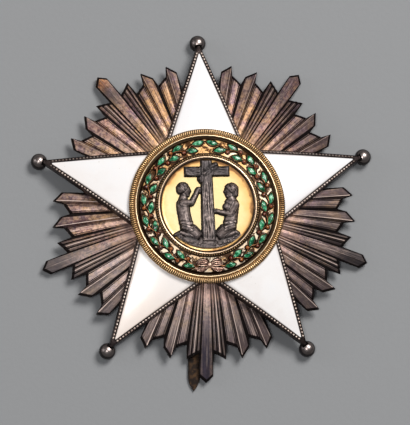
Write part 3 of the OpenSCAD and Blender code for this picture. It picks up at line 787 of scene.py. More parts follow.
white_enamel, tree, shader = new_material("white_enamel")
right, up, _ = axes(tree)
glass = noise_value(tree, 130, 4, 0.55).steps([
    (0.3, (0.86, 0.815, 0.8)), (0.5, (0.9, 0.875, 0.87)), (0.7, (0.885, 0.875, 0.885))])
# Toward the lower left the enamel is a little warmer
across_star = right + up
glass = glass.under(across_star.fit(-0.018, -0.042), (0.9, 0.79, 0.72))
# Toward the upper right it is a little greyer: painted shade, to offset the stronger light on that side
glass = glass.under(across_star.fit(-0.004, 0.018), (0.835, 0.82, 0.83))
pinholes = noise_value(tree, 1500, 2, 0.5)
glass = glass.under(pinholes.fit(0.735, 0.76, 0, 0.45), (0.45, 0.36, 0.3))
# Brown along the edges, where the glass is thin, with painted shade along the rim
glass = glass.under(attribute(tree, "edge").fit(0.9, 1.0, 0, 0.55), (0.5, 0.4, 0.35))
feed(tree, shader, {
    "Base Color": glass, "Roughness": 0.24, "Coat Weight": 0.3, "Coat Roughness": 0.14,
    "Normal": bump(noise_value(tree, 260, 2, 0.4) + pinholes * 0.08, 0.00006, 0.5)})


def both_sides(half):
    """A whole section, from the half that starts at its middle."""
    return [(-row[0], *row[1:]) for row in reversed(half)] + half[1:]


def open_edges(bm):
    return [edge for edge in bm.edges if edge.is_boundary]


across = both_sides(ENAMEL_SECTION)
broad = (ARM_REACH - ENAMEL_START) * math.tan(ARM_ANGLE)
for arm in range(ARMS):
    bm = bmesh.new()
    edge_layer = new_layer(bm, "edge")
    rows = []
    for k in range(ENAMEL_STEPS + 1):
        out = ENAMEL_START + (ARM_REACH - ENAMEL_TIP_CUT - ENAMEL_START) * k / ENAMEL_STEPS
        half_w = (ARM_REACH - out) * math.tan(ARM_ANGLE) - GAP
        row = []
        for u, crown, drop in across:
            x, y = leaned(out, u * half_w, arm)
            z = vault_z(math.hypot(x, y)) + ARM_H + ENAMEL_CROWN * crown * half_w / broad - drop
            row.append(arm_matrix(arm) @ Vector((x, y, min(z, SEAT_Z))))
        for u in (1, 0.5, 0, -0.5, -1):
            x, y = leaned(out, u * half_w, arm)
            row.append(arm_matrix(arm) @ Vector((x, y, vault_z(math.hypot(x, y)) + ARM_H - ENAMEL_T)))
        rows.append(row)
    sheet(bm, rows, layer=edge_layer, values=[abs(u) for u, _, _ in across])
    bmesh.ops.holes_fill(bm, edges=open_edges(bm))
    finish_piece(f"enamel_field_{arm + 1}", bm, white_enamel, "white_enamel", 50, f"enamel_arm_{arm + 1}")

# Tip balls
# A turned ball of dark silver on the point of each arm. Its top keeps its polish, and its sides
# are painted nearly black and matt: painted shade around the ball's edge.
ball_silver, tree, shader = new_material("ball_gunmetal")
gunmetal, clouds = toned(
    tree, (0.38, 0.32, 0.3), (0.16, 0.13, 0.125), (0.04, 0.032, 0.033), 0.42, 420.0, 2600.0)
height = axes(tree)[2]
feed(tree, shader, {
    # Black, matt sides: painted shade around the edge of each ball
    "Base Color": gunmetal.under(height.fit(0.0033, 0.004, 0.97, 0), (0.01, 0.008, 0.009)),
    "Metallic": height.fit(0.003, 0.0038), "Specular IOR Level": 0.1,
    "Roughness": satin(clouds, 0.3, 0.42), "Normal": fine_grain(tree, 2400, 0.00003, 0.4)})
for arm in range(ARMS):
    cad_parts[f"tip_ball_{arm + 1}"].material_slots[0].material = ball_silver

# Case of the medallion
# Turned gilt cup that sits on the star's centre. Its rounded wall is milled all around, and a fine
# smooth line stands inside the wall, with a groove between it and the wreath's ground that is black
# with patina and painted shade.
CASE_TEETH = 230
STEPS_A_TOOTH = 8
TOOTH_DEPTH = 0.13
CASE_Z = SEAT_Z + GAP
# The middle of the rounded wall, which the teeth are cut toward, its inner side, the smooth line
# inside it, and the top of the black grooves on both sides of that line
WALL_R = 19.3
WALL_H = 0.3
WALL_INNER_R = 18.65
LINE_OUTER_R = 18.45
LINE_INNER_R = 17.9
GROOVE_TOP = 0.8
# From the floor's middle out and around: (distance from the centre, height, share of a tooth's depth)
CASE_SECTION = [
    (1.75, 0, 0), (19.7, 0, 0), (19.72, 0.26, 0), (19.88, 0.34, 0.6), (20.0, 0.52, 1), (20.0, 0.78, 1),
    (19.88, 1.0, 1), (19.62, 1.13, 1), (19.25, 1.15, 1), (18.9, 1.13, 1), (18.7, 1.03, 0.8),
    (18.6, 0.92, 0.2), (18.54, 0.72, 0), (18.48, 0.72, 0), (18.42, 0.92, 0), (18.34, 1.09, 0),
    (18.2, 1.15, 0), (18.06, 1.09, 0), (17.98, 0.9, 0), (17.94, 0.45, 0), (1.75, 0.45, 0),
]


def everything(bm):
    return bm.verts[:] + bm.edges[:] + bm.faces[:]


def turned_piece(bm, section, parts, z0, steps_a_part=8, close=True):
    """Spins a section, given as (distance from the axis, height over z0), around the star's axis:
    first one part of the turn, and then that part around."""
    corners = [bm.verts.new((row[0], 0, z0 + row[1])) for row in section]
    ends = corners[1:] + corners[:1] if close else corners[1:]
    edges = [bm.edges.new(pair) for pair in zip(corners, ends)]
    part = 2 * math.pi / parts
    bmesh.ops.spin(bm, geom=corners + edges, cent=(0, 0, 0), axis=(0, 0, 1), dvec=(0, 0, 0),
                   angle=part, steps=steps_a_part)
    bmesh.ops.spin(bm, geom=everything(bm), cent=(0, 0, 0), axis=(0, 0, 1), dvec=(0, 0, 0),
                   angle=2 * math.pi - part, steps=parts - 1, use_duplicate=True)
    bmesh.ops.remove_doubles(bm, verts=bm.verts, dist=0.001)


case_gilt, tree, shader = new_material("milled_case_gilt")
gilt, clouds = toned(tree, (0.65, 0.405, 0.19), (0.36, 0.2, 0.085), (0.09, 0.045, 0.02), 0.49, 170.0, 2100.0)
sunk = attribute(tree, "sunk")
up = axes(tree)[1]
# Paler toward the top and the bottom: painted light
case_painted_light = up.fit(0.009, 0.0185, 0, 0.32).apply("MAXIMUM", up.fit(-0.009, -0.0185, 0, 0.25))
colour = gilt.under(case_painted_light, (0.88, 0.62, 0.35)).under(attribute(tree, "line").fit(0.4, 0.6), (0.84, 0.64, 0.41))
feed(tree, shader, {
    "Base Color": colour.under(sunk.fit(0.25, 0.8, 0, 0.96), (0.01, 0.005, 0.003)), "Metallic": 0.95,
    "Roughness": satin(clouds, 0.26, 0.42) + sunk * 0.25,
    "Normal": fine_grain(tree, 2600, 0.00002, 0.5, 3)})

bm = bmesh.new()
turned_piece(bm, CASE_SECTION, CASE_TEETH, CASE_Z, STEPS_A_TOOTH)
sunk_layer, line_layer = new_layer(bm, "sunk"), new_layer(bm, "line")
for vert in bm.verts:
    r, h = vert.co.xy.length, vert.co.z - CASE_Z
    depth = min(CASE_SECTION, key=lambda row: abs(row[0] - r) + abs(row[1] - h))[2]
    turn = math.atan2(vert.co.y, vert.co.x) / (2 * math.pi) * CASE_TEETH
    hollow = depth * (0.5 - 0.5 * math.cos(2 * math.pi * turn)) ** 1.4
    vert[line_layer] = 1 if LINE_INNER_R < r < LINE_OUTER_R and h > GROOVE_TOP else 0
    # The teeth's hollows are black with patina, and the groove inside the wall with patina and painted shade
    vert[sunk_layer] = max(hollow * 0.9, 1 if r < WALL_INNER_R and h < GROOVE_TOP else 0)
    if hollow > 0:
        middle = Vector((vert.co.x, vert.co.y, 0)).normalized() * WALL_R + Vector((0, 0, CASE_Z + WALL_H))
        vert.co += (middle - vert.co).normalized() * TOOTH_DEPTH * hollow
finish_piece("milled_case", bm, case_gilt, "case_gilt", 50, "medallion_case")

# Ground of the wreath
# Conical gilt ring in the case, matted with fine punch marks. It is pale cream in places and deep
# gold in others, more gold toward the top, black in patches, and black along its outer edge with patina
# and painted shade at the foot of the case's wall.
GROUND_R = 17.55
PARTS_AROUND = 32
GROUND_LOW = 0.85
GROUND_HIGH = 1.75
SHOULDER = 0.35
BEAD_RING_R = 13.4
DISC_R = 12.1
GROUND_SLOPE = (GROUND_HIGH - GROUND_LOW) / (GROUND_R - BEAD_RING_R)
GROUND_SECTION = [
    (DISC_R + GAP, 0.55), (GROUND_R, 0.55), (GROUND_R, 0.6), (17.46, 0.7), (17.42, 0.84), (17.3, 0.91),
    (16.4, 1.1), (15.4, 1.315), (14.4, 1.53), (13.6, 1.7), (13.45, 1.72), (BEAD_RING_R, 1.7),
    (BEAD_RING_R, 1.4), (DISC_R + GAP, 1.4),
]

ground_gilt, tree, shader = new_material("wreath_ground_gilt")
right, up, _ = axes(tree)
reach = reach_from(tree)
gold_share = noise_value(tree, 330, 4, 0.6) + up.fit(0.004, 0.017, 0, 0.22)
colour = gold_share.fit(0.47, 0.66).blend((0.92, 0.76, 0.57), (0.76, 0.42, 0.16))
patch_noise = noise_value(tree, 560, 5, 0.68) + up.fit(0.008, 0.016, 0, 0.012) - right.fit(0.006, 0.014, 0, 0.015)
black_patches = patch_noise.fit(0.475, 0.515, 0, 0.97)
# Black along the outer edge: patina and painted shade at the foot of the case's wall
edge_patina_and_shade = reach.fit(0.01695, 0.01715, 0, 0.98)
colour = colour.under(black_patches, (0.04, 0.016, 0.008)).under(edge_patina_and_shade, (0.012, 0.006, 0.003))
punched = new_shade(tree, "ShaderNodeTexVoronoi", "Distance", {"Vector": object_place(tree), "Scale": 3600.0})
feed(tree, shader, {
    "Base Color": colour.under(reach.fit(0.01358, 0.01344, 0, 0.95), (0.03, 0.016, 0.008)),
    "Metallic": black_patches.apply("MAXIMUM", edge_patina_and_shade).fit(0, 0.9, 0.35, 1), "Roughness": 0.5,
    "Normal": bump(punched, 0.00004, 0.6)})

bm = bmesh.new()
turned_piece(bm, GROUND_SECTION, PARTS_AROUND, SEAT_Z)
finish_piece("matted_ground", bm, ground_gilt, "ground_gilt", 40, "wreath_ground")

# Beaded ring around the disc
# Gilt wire ring, soldered to the ground's shoulder. A row of fine beads lies in its bed, between a
# low lip and a broader smooth line, and the bed is black.
RING_BEADS = 132
RING_BEAD_R = 12.93
RING_BEAD_SIZE = 0.25
RING_BEAD_SHAPE = (1.0, 0.84, 1.0)
BED_INNER_R = 12.64
BED_H = 0.36
RING_Z = SEAT_Z + GROUND_HIGH - SHOULDER + GAP
RING_SECTION = [
    (12.16, 0), (13.34, 0), (13.34, 0.3), (13.31, 0.4), (13.26, 0.42), (13.21, 0.4), (13.18, 0.3),
    (12.93, 0.34), (12.66, 0.38), (12.62, 0.54), (12.54, 0.63), (12.34, 0.63), (12.22, 0.54), (12.16, 0.4),
]

ring_gilt, tree, shader = new_material("bead_ring_gilt")
gilt, clouds = toned(tree, (0.52, 0.35, 0.17), (0.27, 0.16, 0.08), (0.08, 0.04, 0.02), 0.46, 260.0, 2500.0)
colour = gilt.under(attribute(tree, "line").fit(0.4, 0.6), (0.7, 0.51, 0.35))
feed(tree, shader, {
    "Base Color": colour.under(attribute(tree, "sunk").fit(0.1, 0.9, 0, 0.97), (0.016, 0.008, 0.004)),
    "Metallic": 0.95, "Roughness": satin(clouds, 0.25, 0.4)})

bm = bmesh.new()
turned_piece(bm, RING_SECTION, PARTS_AROUND, RING_Z)
sunk_layer, line_layer = new_layer(bm, "sunk"), new_layer(bm, "line")
for vert in bm.verts:
    r, h = vert.co.xy.length, vert.co.z - RING_Z
    vert[sunk_layer] = 1 if BED_INNER_R < r or h < BED_H - 0.04 else 0
    vert[line_layer] = 1 if r < BED_INNER_R else 0
bead_at = Matrix.Translation((RING_BEAD_R, 0, RING_Z + BED_H + RING_BEAD_SIZE * 0.55))
bead_size = Vector(RING_BEAD_SHAPE) * RING_BEAD_SIZE
for k in range(RING_BEADS):
    turn = Matrix.Rotation(2 * math.pi * k / RING_BEADS, 4, "Z")
    stamp(bm, round_bead, turn @ bead_at @ Matrix.Diagonal((*bead_size, 1)))
finish_piece("beaded_ring", bm, ring_gilt, "bead_gilt", 60, "bead_ring")

# Disc
# Gilt disc behind the relief, its edge turned up. The gilding is bright and satin, paler toward the
# lower left as a painted sheen, and deepens to orange brown and black toward the edge as painted shade
# under the raised edge and the ring, more so at the upper right; it has orange stains.
DISC_H = 1.35
DISC_SECTION = [
    (0, 0.55), (DISC_R, 0.55), (DISC_R, 1.62), (12.07, 1.65), (12.0, 1.65), (11.92, 1.58), (11.75, 1.43),
    (11.5, 1.37), (11.0, 1.35), (8.0, 1.35), (4.0, 1.35), (0, 1.35),
]

disc_gilt, tree, shader = new_material("disc_gilt")
right, up, _ = axes(tree)
reach = reach_from(tree)
stain = noise_value(tree, 240, 4, 0.6)
# Paler toward the lower left: a painted sheen
colour = (right + up).fit(0.012, -0.014).blend((0.585, 0.43, 0.195), (0.57, 0.47, 0.255))
# Orange brown, dark brown and black toward the edge: painted shade, reaching further in at the upper right
edge_shade_reach = reach + (stain - 0.5) * 0.004 + (right + up) * 0.02
for place, low, high, share, tone in (
        (edge_shade_reach, 0.0094, 0.0116, 0.85, (0.58, 0.29, 0.075)),
        (edge_shade_reach, 0.0113, 0.0118, 0.85, (0.17, 0.07, 0.022)),
        (reach, 0.01172, 0.01184, 0.97, (0.012, 0.006, 0.004)),
        (stain, 0.62, 0.74, 0.35, (0.8, 0.42, 0.14))):
    colour = colour.under(place.fit(low, high, 0, share), tone)
feed(tree, shader, {
    "Base Color": colour, "Metallic": 0.55, "Roughness": satin(stain, 0.3, 0.42),
    "Normal": fine_grain(tree, 2200, 0.00002, 0.5)})

bm = bmesh.new()
turned_piece(bm, DISC_SECTION, 24, SEAT_Z, close=False)
finish_piece("gilt_disc", bm, disc_gilt, "disc_gilt", 40, "medallion_disc")

# Wreath
# Two cast branches tied at the bottom: green enamelled leaves with gilt edges in an outer and an
# inner row, on a winding gilt twig that bears red berries.
LEAF_L = 3.3
LEAF_W = 1.45
# How far a leaf bends to one side, and how far its foot lies from its middle, as a share of its length
LEAF_CURVE = 0.1
FOOT_SHARE = 0.42
# The gilt edge and the midrib, as shares of half the leaf's width, and the heights of the parts
EDGE_SHARE = 0.2
RIB_SHARE = 0.16
RIB_DEPTH = 0.09
LEAF_PLATE_T = 0.1
LEAF_DOME = 0.32
LEAF_PAIRS = 8
LEAF_PITCH = math.radians(19.4)
OUTER_ROW = (16.3, math.radians(6.6), math.radians(12))
INNER_ROW = (14.55, math.radians(14.6), math.radians(-18))
STEM_FOOT = (15.4, math.radians(173))
BERRY_R = 0.46
BERRY_LIFT = 0.32
# Width of the black skirt around each leaf: painted shade at its undercut edge
SHADE_SKIRT = 0.42
TWIG_STEPS = 5
TWIG_LIFT = 0.02
TIP_SIZE = 0.45
# Half a section of the twig, from its top: (across, height, 1 where it is black, painted shade along
# its sides)
TWIG_SECTION = both_sides([
    (0, 0.34, 0), (0.13, 0.29, 0), (0.21, 0.17, 0.7), (0.3, 0.05, 1), (0.5, 0.0, 1),
])
BERRY_SHIFT = 0.25
PAINTED_SHADE_BLACK = (0.014, 0.007, 0.004)
BERRY_TURN = math.radians(2.6)
# The black cup under each berry, painted shade around it: its height, and how much wider it is than
# the berry, and its foot than its top
CUP_H = 0.3
CUP_SPREAD = 1.3


def on_ground(r, angle, lean=0.0, lift=0.0, mirrored=False):
    """Matrix of a place on the wreath's ground, at an angle to the left of the top."""
    z = SEAT_Z + GROUND_LOW + (GROUND_R - r) * GROUND_SLOPE + lift
    place = Matrix.Rotation(math.pi / 2 + angle, 4, "Z") @ Matrix.Translation((r, 0, z))
    place = place @ Matrix.Rotation(math.atan(GROUND_SLOPE), 4, "Y") @ Matrix.Rotation(lean, 4, "Z")
    return (Matrix.Diagonal((-1, 1, 1, 1)) if mirrored else Matrix.Identity(4)) @ place


def verts_of(geom):
    return [element for element in geom if isinstance(element, bmesh.types.BMVert)]


def neighbours(path, k):
    """The places before and after place k of a path; at an end, that place itself."""
    return path[max(k - 1, 0)], path[min(k + 1, len(path) - 1)]


def leaf_template():
    """Pointed leaf along +Y: a gilt plate with a raised cell of enamel and a sunk midrib."""
    bm = bmesh.new()
    layer = new_layer(bm, "gilt")
    bmesh.ops.create_grid(bm, x_segments=8, y_segments=12, size=1)
    for vert in bm.verts:
        u, v = vert.co.x, vert.co.y
        swell = math.cos(v * 0.97 * math.pi / 2) ** 1.1 * (1 + 0.22 * v)
        gilt_edge = abs(u) > 1 - EDGE_SHARE or abs(v) > 0.92
        dome = (1 - u**2) ** 0.5 * math.cos(v * math.pi / 2) ** 0.5
        rib = math.exp(-(u / RIB_SHARE) ** 2) * RIB_DEPTH
        vert[layer] = 1 if gilt_edge else rib * 4
        across = u * LEAF_W / 2 * swell + LEAF_CURVE * (1 - v * v)
        vert.co = Vector((across, v * LEAF_L / 2, LEAF_PLATE_T + LEAF_DOME * dome - rib))
    # A low black skirt around the leaf: painted shade at its undercut edge
    skirt = bmesh.ops.extrude_edge_only(bm, edges=open_edges(bm))["geom"]
    for vert in verts_of(skirt):
        flat = vert.co.xy
        vert.co.xy = flat * (1 + SHADE_SKIRT / max(flat.length, 0.4))
        vert.co.z = 0
        vert[layer] = 2
    return template_of(bm, "leaf_shape")


def leaf_angle(row, k):
    return row[1] + LEAF_PITCH * k


def leaf_foot(row, k):
    back = LEAF_L * FOOT_SHARE
    r = row[0] - back * math.sin(row[2])
    return r, leaf_angle(row, k) + math.atan(back * math.cos(row[2]) / r)


leaf_green, tree, shader = new_material("leaf_enamel")
edge = attribute(tree, "gilt")
clouds = noise_value(tree, 900, 3, 0.6)
# Green of the enamel, whose palest patches are painted highlights
green = clouds.steps([
    (0.38, (0.002, 0.03, 0.012)), (0.48, (0.007, 0.125, 0.05)), (0.57, (0.022, 0.275, 0.125)),
    (0.66, (0.27, 0.6, 0.36))])
gold = clouds.fit(0.4, 0.6).blend((0.3, 0.19, 0.09), (0.04, 0.02, 0.01))
feed(tree, shader, {
    # The gilt edge is dark gold, and the skirt is black: painted shade
    "Base Color": green.under(edge.fit(0.35, 0.75), gold).under(edge.fit(1.2, 1.4), PAINTED_SHADE_BLACK),
    "Metallic": edge.fit(0.35, 0.75, 0.0, 0.9), "Roughness": edge.fit(0.35, 0.75, 0.12, 0.35)})

twig_gilt, tree, shader = new_material("twig_gilt")
gilt, _ = toned(tree, (0.52, 0.25, 0.115), (0.11, 0.04, 0.015), (0.03, 0.012, 0.005), 0.56, 900.0, 2600.0)
# Black along its sides: painted shade
feed(tree, shader, {
    "Base Color": gilt.under(attribute(tree, "ink").fit(0.3, 0.6), PAINTED_SHADE_BLACK),
    "Metallic": 0.9, "Roughness": 0.34})

berry_red, tree, shader = new_material("berry_enamel")
feed(tree, shader, {
    "Base Color": noise_value(tree, 420, 2, 0.5).steps([
        (0.38, (0.07, 0.012, 0.004)), (0.5, (0.17, 0.03, 0.008)), (0.66, (0.36, 0.11, 0.02))]),
    "Roughness": 0.14, "Coat Weight": 0.5})

# The twig winds from the foot of one leaf to the next, and a berry stands outside each bend
stem_path = []
for k in range(LEAF_PAIRS + 1):
    stem_path += [leaf_foot(OUTER_ROW, k), leaf_foot(INNER_ROW, k) if k < LEAF_PAIRS else STEM_FOOT]
berries = []
for k, (r, angle) in enumerate(stem_path[1:-2], 1):
    berries.append((r + (BERRY_SHIFT if k % 2 == 0 else -BERRY_SHIFT), angle + BERRY_TURN))

# One leaf, one berry and one cup, which are stamped all along both branches
leaf_shape = leaf_template()
shape = bmesh.new()
bmesh.ops.create_uvsphere(shape, u_segments=14, v_segments=10, radius=BERRY_R)
berry_shape = template_of(shape, "berry_shape")
shape = bmesh.new()
ink_layer = new_layer(shape, "ink")
bmesh.ops.create_circle(shape, cap_ends=True, segments=16, radius=BERRY_R * CUP_SPREAD)
for vert in shape.verts:
    vert.co.z = CUP_H
skirt = bmesh.ops.extrude_edge_only(shape, edges=shape.edges[:])["geom"]
for vert in verts_of(skirt):
    vert.co = (vert.co.x * CUP_SPREAD, vert.co.y * CUP_SPREAD, 0.0)
for vert in shape.verts:
    vert[ink_layer] = 1
cup_shape = template_of(shape, "cup_shape")

random.seed(21)
for side in ("left", "right"):
    mirrored = side == "right"
    bm = bmesh.new()
    for row, count in ((OUTER_ROW, LEAF_PAIRS + 1), (INNER_ROW, LEAF_PAIRS)):
        for k in range(count):
            sway = random.uniform(-0.09, 0.09)
            angle = leaf_angle(row, k) + random.uniform(-0.008, 0.008)
            place = on_ground(row[0], angle, math.pi + row[2] + sway, GAP, mirrored)
            shaped = Matrix.Diagonal((random.choice((-1, 1)), random.uniform(0.93, 1.04), 1, 1))
            stamp(bm, leaf_shape, place @ shaped)
    finish_piece(f"wreath_leaves_{side}", bm, leaf_green, "leaf_enamel", 50, f"wreath_{side}")

    bm = bmesh.new()
    ink_layer = new_layer(bm, "ink")
    path = []
    for (r0, a0), (r1, a1) in zip(stem_path, stem_path[1:]):
        for part in range(TWIG_STEPS):
            share = part / TWIG_STEPS
            path.append((r0 + (r1 - r0) * share * share * (3 - 2 * share), a0 + (a1 - a0) * share))
    rows = []
    for k, (r, angle) in enumerate(path):
        behind, ahead = neighbours(path, k)
        heading = math.atan2(behind[0] - ahead[0], r * (ahead[1] - behind[1]))
        place = on_ground(r, angle, heading, TWIG_LIFT, mirrored)
        thin = TIP_SIZE if k < 2 else 1
        rows.append([place @ Vector((across * thin, 0, height * thin)) for across, height, _ in TWIG_SECTION])
    sheet(bm, rows, layer=ink_layer, values=[black for _, _, black in TWIG_SECTION])
    for r, angle in berries:
        stamp(bm, cup_shape, on_ground(r, angle, 0, 0, mirrored))
    finish_piece(f"wreath_twig_{side}", bm, twig_gilt, "leaf_enamel", 40)

    bm = bmesh.new()
    for r, angle in berries:
        stamp(bm, berry_shape, on_ground(r, angle, 0, BERRY_LIFT, mirrored) @ Matrix.Diagonal((1, 1, 0.8, 1)))
    finish_piece(f"wreath_berries_{side}", bm, berry_red, "leaf_enamel", 80)

# Bow
# Ribbon cast in pinkish gilt and soldered over the ends of the two branches: a knot, and a broad
# and a narrow creased loop at each side of it. The creases are black.
BOW_R = 15.35
KNOT_R = 0.62
KNOT_LIFT = 0.3
FOLD_R = 0.2
FOLD_PITCH = 0.28
# The loops of one side, as strips: (angle from the knot in degrees, distance out, half width, lift)
BOW_LOOPS = [
    [(0.9, 15.45, 0.25, 0.34), (2.6, 15.15, 0.62, 0.52), (5.2, 14.95, 0.95, 0.5), (8.0, 14.95, 0.98, 0.4),
     (10.6, 15.1, 0.78, 0.28), (12.6, 15.35, 0.3, 0.14)],
    [(1.6, 15.85, 0.2, 0.3), (4.0, 16.25, 0.42, 0.34), (7.0, 16.6, 0.58, 0.3), (10.2, 16.65, 0.46, 0.22),
     (13.4, 16.35, 0.12, 0.1)],
]
# Half a loop's section, from its middle: (share of the half width, height, 1 in the dark lines)
BOW_SECTION = both_sides([
    (0, 0.02, 1), (0.12, 0.16, 0), (0.38, 0.14, 0), (0.5, 0.0, 1), (0.62, 0.12, 0), (0.84, 0.15, 0),
    (1, 0.0, 1), (1.25, -0.1, 1),
])

bow_gilt, tree, shader = new_material("bow_gilt")
gilt, _ = toned(tree, (0.92, 0.66, 0.5), (0.34, 0.165, 0.125), (0.07, 0.028, 0.02), 0.52, 1300.0, 3000.0)
feed(tree, shader, {
    "Base Color": gilt.under(attribute(tree, "ink").fit(0.08, 0.36), (0.014, 0.006, 0.004)),
    "Metallic": 0.75, "Roughness": 0.34, "Normal": fine_grain(tree, 1500, 0.00006, 0.8, 3)})

bm = bmesh.new()
ink_layer = new_layer(bm, "ink")
for side in (-1, 1):
    for loop in BOW_LOOPS:
        rows = []
        for k, (angle, r, half_w, lift) in enumerate(loop):
            behind, ahead = neighbours(loop, k)
            run = Vector((math.radians(ahead[0] - behind[0]) * BOW_R, ahead[1] - behind[1])).normalized()
            row = []
            for u, up, _ in BOW_SECTION:
                out = r + run.x * u * half_w
                turn = math.pi + side * (math.radians(angle) - run.y * u * half_w / BOW_R)
                row.append(on_ground(out, turn, 0, max(lift + up, 0.03)).translation)
            rows.append(row)
        sheet(bm, rows, layer=ink_layer, values=[black for _, _, black in BOW_SECTION])
bmesh.ops.subdivide_edges(bm, edges=bm.edges, cuts=1, smooth=0.5, use_grid_fill=True)
knot = on_ground(BOW_R, math.pi, 0, KNOT_LIFT)
bmesh.ops.create_uvsphere(bm, u_segments=16, v_segments=10, radius=KNOT_R,
                          matrix=knot @ Matrix.Diagonal((1.1, 0.9, 0.75, 1)))
for y in (-FOLD_PITCH, 0, FOLD_PITCH):
    fold = knot @ Matrix.Translation((0, y, 0.4)) @ Matrix.Diagonal((2.4, 0.6, 0.5, 1))
    bmesh.ops.create_uvsphere(bm, u_segments=12, v_segments=8, radius=FOLD_R, matrix=fold)
finish_piece("ribbon_bow_cast", bm, bow_gilt, "bow_gilt", 60, "ribbon_bow")

# Relief
# Cast in one piece of silver gone dark and riveted to the disc: a rough timber cross on a mound,
# with a cloth wound over its crossing, between two people who kneel and face it.
RELIEF_Z = SEAT_Z + DISC_H + GAP
VOXEL = 0.09
# A head seen from the side that faces +X, around its own middle. Each row is a rounded bar:
# (x, y, z, radius) at one end, the same at its other end, and its depth as a share of its width.
HEAD = [
    ((-0.35, 0.4, 0.05, 1.28), (-0.05, 0.42, 0.05, 1.28), 0.78),  # skull
    ((0.45, 0.2, 0.1, 0.95), (0.52, -0.6, 0.1, 0.72), 0.85),  # face
    ((-0.05, -0.8, 0.15, 0.5), (0.9, -1.25, 0.15, 0.34), 0.9),  # jaw and chin
    ((1.24, 0.35, 0.15, 0.15), (1.47, -0.22, 0.2, 0.19), 1),  # nose
    ((1.12, 0.62, 0.15, 0.24), (0.62, 0.62, 0.7, 0.2), 1),  # brow
    ((1.27, -0.56, 0.15, 0.17), (1.05, -0.56, 0.35, 0.15), 1),  # upper lip
    ((1.22, -0.8, 0.15, 0.16), (1.02, -0.8, 0.35, 0.14), 1),  # lower lip
    ((0.95, 0.27, 0.55, 0.15), (0.72, 0.24, 0.66, 0.13), 1),  # eyelid
    ((0.62, -0.12, 0.45, 0.42), (0.3, -0.5, 0.35, 0.45), 1),  # cheek
    ((-0.12, 0.12, 0.78, 0.24), (-0.22, -0.28, 0.72, 0.17), 1),  # ear
]
SHORT_HAIR = [
    ((-0.72, 0.5, 0.05, 1.12), (-0.4, 0.86, 0.05, 1.12), 0.92),
    ((-1.0, -0.15, 0.05, 0.72), (-0.8, 0.5, 0.05, 1.0), 0.92),
    ((0.05, 1.22, 0.05, 0.74), (0.62, 1.16, 0.05, 0.42), 1.1),
]
LONG_HAIR = [
    ((-0.68, 0.52, 0.05, 1.16), (-0.3, 0.86, 0.05, 1.12), 0.92),
    ((-0.98, 0.3, 0.1, 0.86), (-1.1, -0.95, 0.1, 0.6), 1.0),
    ((0.3, 1.1, 0.05, 0.7), (0.85, 1.0, 0.05, 0.42), 0.95),
    ((0.95, 1.0, 0.35, 0.22), (-0.75, 1.25, 0.95, 0.2), 1),  # band around the hair
]
# A kneeling body that faces +X, around the star's axis, as the figure on the left has it
TRUNK = [
    ((-5.98, 2.45, 0.05, 0.86), (-6.25, 1.2, 0.05, 1.12), 0.8),  # neck
    ((-6.8, 0.5, 0.05, 1.0), (-5.45, 0.6, 0.1, 0.95), 0.85),  # shoulders
    ((-6.25, 0.05, 0.05, 1.66), (-6.15, -1.7, 0.05, 1.56), 0.7),  # chest
    ((-6.1, -1.9, 0.05, 1.52), (-5.75, -4.2, 0.05, 1.6), 0.7),  # waist
    ((-5.5, -4.7, 0.05, 1.62), (-5.5, -5.3, 0.05, 1.62), 0.7),  # hips
    ((-5.85, -5.5, 0.1, 1.28), (-5.95, -5.85, 0.05, 1.02), 0.85),  # seat
]
FAR_THIGH = [((-3.9, -5.9, 0.0, 0.95), (-2.25, -7.35, 0.0, 0.7), 0.8)]
CALF = [
    ((-3.7, -8.1, 0.05, 0.7), (-5.6, -7.48, 0.12, 0.72), 0.95),  # calf
    ((-5.6, -7.48, 0.12, 0.7), (-6.95, -6.98, 0.2, 0.48), 0.95),  # ankle
]
LONG_FOOT = [((-7.1, -6.92, 0.3, 0.46), (-8.6, -7.55, 0.3, 0.3), 0.9)]
SHORT_FOOT = [((-6.9, -6.98, 0.3, 0.46), (-7.6, -7.35, 0.3, 0.34), 0.9)]
NEAR_THIGH = [
    ((-5.5, -5.55, 0.2, 1.24), (-3.15, -7.5, 0.18, 1.06), 0.84),  # near thigh
    ((-3.1, -7.8, 0.15, 1.02), (-3.2, -8.05, 0.1, 0.92), 0.92),  # knee
]
CLOTH = [
    ((-6.8, -4.45, 0.62, 0.4), (-4.4, -4.75, 0.74, 0.4), 0.9),  # waistband
    ((-6.55, -5.15, 0.7, 0.34), (-4.3, -5.8, 0.9, 0.3), 0.9),
    ((-6.55, -5.7, 0.7, 0.34), (-4.2, -6.55, 0.92, 0.28), 0.9),
]
RAISED_ARM = [
    ((-6.35, 0.6, 0.55, 0.84), (-4.15, 0.62, 0.66, 0.74), 0.9),  # upper arm
    ((-4.1, 0.66, 0.66, 0.7), (-2.8, 3.05, 0.55, 0.54), 0.9),  # forearm
    ((-2.75, 3.2, 0.5, 0.53), (-2.4, 3.95, 0.46, 0.54), 0.9),  # palm
    ((-2.3, 4.25, 0.46, 0.38), (-1.7, 4.3, 0.42, 0.3), 1),  # fingers
    ((-2.25, 3.87, 0.46, 0.34), (-1.6, 3.88, 0.42, 0.26), 1),
    ((-2.3, 3.55, 0.52, 0.26), (-1.85, 3.4, 0.5, 0.22), 1),  # thumb
]
STRETCHED_ARM = [
    ((-7.1, -0.05, 0.55, 0.9), (-5.8, -2.35, 0.68, 0.74), 0.9),  # upper arm
    ((-5.75, -2.4, 0.66, 0.7), (-3.3, -1.85, 0.55, 0.54), 0.9),  # forearm
    ((-3.3, -1.85, 0.52, 0.52), (-2.5, -1.62, 0.48, 0.5), 0.9),  # palm
    ((-2.45, -1.4, 0.46, 0.32), (-1.55, -1.3, 0.46, 0.26), 1),  # fingers
    ((-2.45, -1.8, 0.46, 0.3), (-1.55, -1.75, 0.46, 0.24), 1),
]
